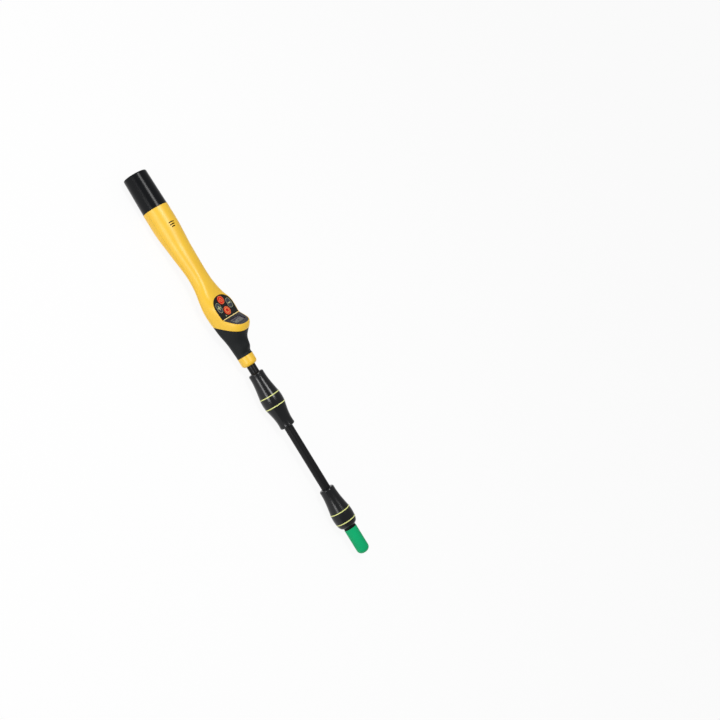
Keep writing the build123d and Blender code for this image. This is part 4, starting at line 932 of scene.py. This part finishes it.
class LOCATOR_OT_inner_works(bpy.types.Operator):
    """Finish what is inside: boards, coils, cells, contacts, leads and the speaker"""

    bl_idname = "locator.inner_works"
    bl_label = "Inner works"

    def execute(self, context):
        coat("main_board display_board contact_board", self.board())
        coat("upper_coil_winding lower_coil_winding", self.winding())
        coat("battery_cells", self.cell())
        coat("battery_leads", self.leads())
        coat("contact_plate", metal("contact_brass", tone(196, 160, 90), 0.26, (60, 1500, 1500)))
        coat("plate_rivet contact_spring board_screws mast_pin", metal("steel", tone(170, 172, 176), 0.3))
        coat("speaker", self.speaker())
        return {"FINISHED"}

    def board(self):
        f = finish("board_green")
        lanes = f.cells(700, "DISTANCE_TO_EDGE").step(0.02, 0.05)
        pads = 1 - f.cells(260).step(0.1, 0.16)
        tint = f.mix(lanes, tone(34, 112, 66), tone(16, 70, 40))
        tint = f.mix(pads, tint, tone(196, 196, 190))
        return f.surface(
            base_color=tint, metallic=pads * 0.9, roughness=0.35 + lanes * 0.12,
            normal=f.bump(pads * 2 - lanes, 0.00003))

    def winding(self):
        f = finish("copper")
        turns = (f.axes()[0] * (2 * pi / 0.0004)).sine()
        shade = f.noise(300, 2)
        tint = f.mix(shade, tone(184, 106, 58), tone(120, 58, 26))
        return f.surface(
            base_color=tint, metallic=0.9, roughness=0.28 + shade * 0.15, normal=f.bump(turns, 0.00008))

    def cell(self):
        f = finish("cell")
        x = f.axes()[0]
        low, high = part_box("battery_cells")
        sleeve = x.step(low.x + 0.0015, low.x + 0.0017) * (1 - x.step(high.x - 0.0012, high.x - 0.001))
        band = x.step(high.x - 0.014, high.x - 0.0138) * sleeve
        film = f.noise(400, 2)
        tint = f.mix(sleeve, tone(176, 178, 182), tone(58, 66, 84))
        tint = f.mix(band, tint, tone(150, 154, 162))
        return f.surface(base_color=tint, metallic=1 - sleeve * 0.85, roughness=0.28 + film * 0.12)

    def leads(self):
        f = finish("lead_pair")
        side = f.axes()[1] > 0
        dust = f.noise(700, 2)
        tint = f.mix(side, tone(24, 24, 25), tone(176, 26, 20))
        return f.surface(base_color=tint, roughness=0.42 + dust * 0.2, normal=f.bump(dust, 0.00002))

    def speaker(self):
        f = finish("speaker_dark")
        low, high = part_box("speaker")
        middle = (low + high) / 2
        place = f.node("ShaderNodeVectorMath", {"operation": "MULTIPLY"}, {0: f.place(), 1: (1, 1, 0)})
        reach = f.distance(place, (middle.x, middle.y, 0))
        rings = (reach * (2 * pi / 0.0016)).sine()
        fibre = f.noise(900, 3)
        tint = f.mix(fibre, tone(38, 38, 41), tone(22, 22, 24))
        return f.surface(base_color=tint, roughness=0.6 + fibre * 0.2, normal=f.bump(rings + fibre, 0.0001))


class LOCATOR_OT_stage(bpy.types.Operator):
    """Set the floor, the soft lights and the camera"""

    bl_idname = "locator.stage"
    bl_label = "Stage"

    def execute(self, context):
        s = context.scene.locator_stage
        context.scene.view_settings.view_transform = "Standard"
        self.floor(tuple(s.floor))
        self.sky(s.sky)
        self.lamp("front_light", s.front_power, along=-0.22, elevation=12, distance=2.0, size=(0.64, 0.65))
        self.lamp("top_light", s.top_power, along=-0.38, elevation=77, distance=1.6, size=(0.76, 0.42))
        self.camera(context, s)
        return {"FINISHED"}

    def seen(self, f):
        """1 on what the camera sees, straight, in a gloss or through the window."""
        camera = f.node("ShaderNodeLightPath", output="Is Camera Ray")
        total = camera + camera.other("Is Glossy Ray") + camera.other("Is Transmission Ray")
        return total.least(1.0)

    def floor(self, base):
        mesh = bmesh.new()
        bmesh.ops.create_grid(mesh, x_segments=24, y_segments=24, size=6.0)
        data = bpy.data.meshes.new("floor")
        mesh.to_mesh(data)
        mesh.free()
        made = bpy.data.objects.new("floor", data)
        made.location.z = -0.0004
        bpy.context.scene.collection.objects.link(made)
        f = finish("floor_paper")
        tooth = f.noise(300, 2)
        tint = f.mix(tooth * 0.2, base, (0.86, 0.86, 0.86))
        paper = f.node("ShaderNodeBsdfDiffuse", None, {"Color": tint})
        glow = f.node("ShaderNodeEmission", None, {"Color": (1, 1, 1, 1), "Strength": 1.0})
        f.show(f.node("ShaderNodeMixShader", None, {0: self.seen(f) * 0.92, 1: paper, 2: glow}))
        data.materials.append(f.owner)

    def sky(self, strength):
        world = bpy.data.worlds.new("sky")
        bpy.context.scene.world = world
        f = Finish(world)
        even = f.node("ShaderNodeBackground", None, {"Color": (1, 1, 1, 1), "Strength": strength})
        white = f.node("ShaderNodeBackground", None, {"Color": (1, 1, 1, 1), "Strength": 1.0})
        camera = f.node("ShaderNodeLightPath", output="Is Camera Ray")
        f.show(f.node("ShaderNodeMixShader", None, {0: camera, 1: even, 2: white}), "ShaderNodeOutputWorld")

    def lamp(self, name, power, along, elevation, distance, size):
        """An area light on the near side, across from a place along the wand and so high over the floor."""
        aim = Vector((along, 0, AXIS_HEIGHT))
        back = Vector((0, -cos(radians(elevation)), sin(radians(elevation))))
        data = bpy.data.lights.new(name, "AREA")
        data.shape = "RECTANGLE"
        data.size, data.size_y = size
        data.energy = power
        made = bpy.data.objects.new(name, data)
        across = Vector((1, 0, 0))
        up = back.cross(across).normalized()
        made.matrix_world = Matrix((across, up, back)).transposed().to_4x4()
        made.location = aim + back * distance
        bpy.context.scene.collection.objects.link(made)

    def camera(self, context, s):
        data = bpy.data.cameras.new("camera")
        data.lens = s.lens
        data.sensor_width = 36.0
        data.clip_start, data.clip_end = 0.05, 60.0
        made = bpy.data.objects.new("camera", data)
        context.scene.collection.objects.link(made)
        right = Vector((1, 0, 0))
        ahead = Vector((0, cos(s.elevation), -sin(s.elevation)))
        place = Vector((s.aim, 0, AXIS_HEIGHT)) - ahead * s.distance
        up = right.cross(ahead)
        ahead = (ahead + right * tan(s.pan) + up * tan(s.tilt)).normalized()
        right = ahead.cross(up).normalized()
        up = right.cross(ahead)
        rolled_right = right * cos(s.roll) + up * sin(s.roll)
        rolled_up = up * cos(s.roll) - right * sin(s.roll)
        made.matrix_world = Matrix((rolled_right, rolled_up, -ahead)).transposed().to_4x4()
        made.location = place
        context.scene.camera = made


OPERATORS = (
    LOCATOR_OT_housing,
    LOCATOR_OT_black,
    LOCATOR_OT_bulbs,
    LOCATOR_OT_keypad,
    LOCATOR_OT_keys,
    LOCATOR_OT_display,
    LOCATOR_OT_screws,
    LOCATOR_OT_inner_works,
    LOCATOR_OT_stage,
)


class LOCATOR_PT_panel(bpy.types.Panel):
    """The wand's pieces and their settings"""

    bl_label = "Sonde locator"
    bl_idname = "LOCATOR_PT_panel"
    bl_space_type = "VIEW_3D"
    bl_region_type = "UI"
    bl_category = "Locator"

    def draw(self, context):
        for operator in OPERATORS:
            self.layout.operator(operator.bl_idname)
        for name, group in SETTINGS.items():
            box = self.layout.box()
            for key in group.__annotations__:
                box.prop(getattr(context.scene, name), key)


def register():
    for group in SETTINGS.values():
        bpy.utils.register_class(group)
    for name, group in SETTINGS.items():
        setattr(bpy.types.Scene, name, PointerProperty(type=group))
    for operator in OPERATORS:
        bpy.utils.register_class(operator)
    bpy.utils.register_class(LOCATOR_PT_panel)


def unregister():
    bpy.utils.unregister_class(LOCATOR_PT_panel)
    for operator in reversed(OPERATORS):
        bpy.utils.unregister_class(operator)
    for name, group in SETTINGS.items():
        delattr(bpy.types.Scene, name)
        bpy.utils.unregister_class(group)


def main():
    register()
    bpy.ops.locator.housing()
    bpy.ops.locator.black()
    bpy.ops.locator.bulbs()
    bpy.ops.locator.keypad()
    bpy.ops.locator.keys()
    bpy.ops.locator.display()
    bpy.ops.locator.screws()
    bpy.ops.locator.inner_works()
    bpy.ops.locator.stage()


if __name__ == "__main__":
    main()
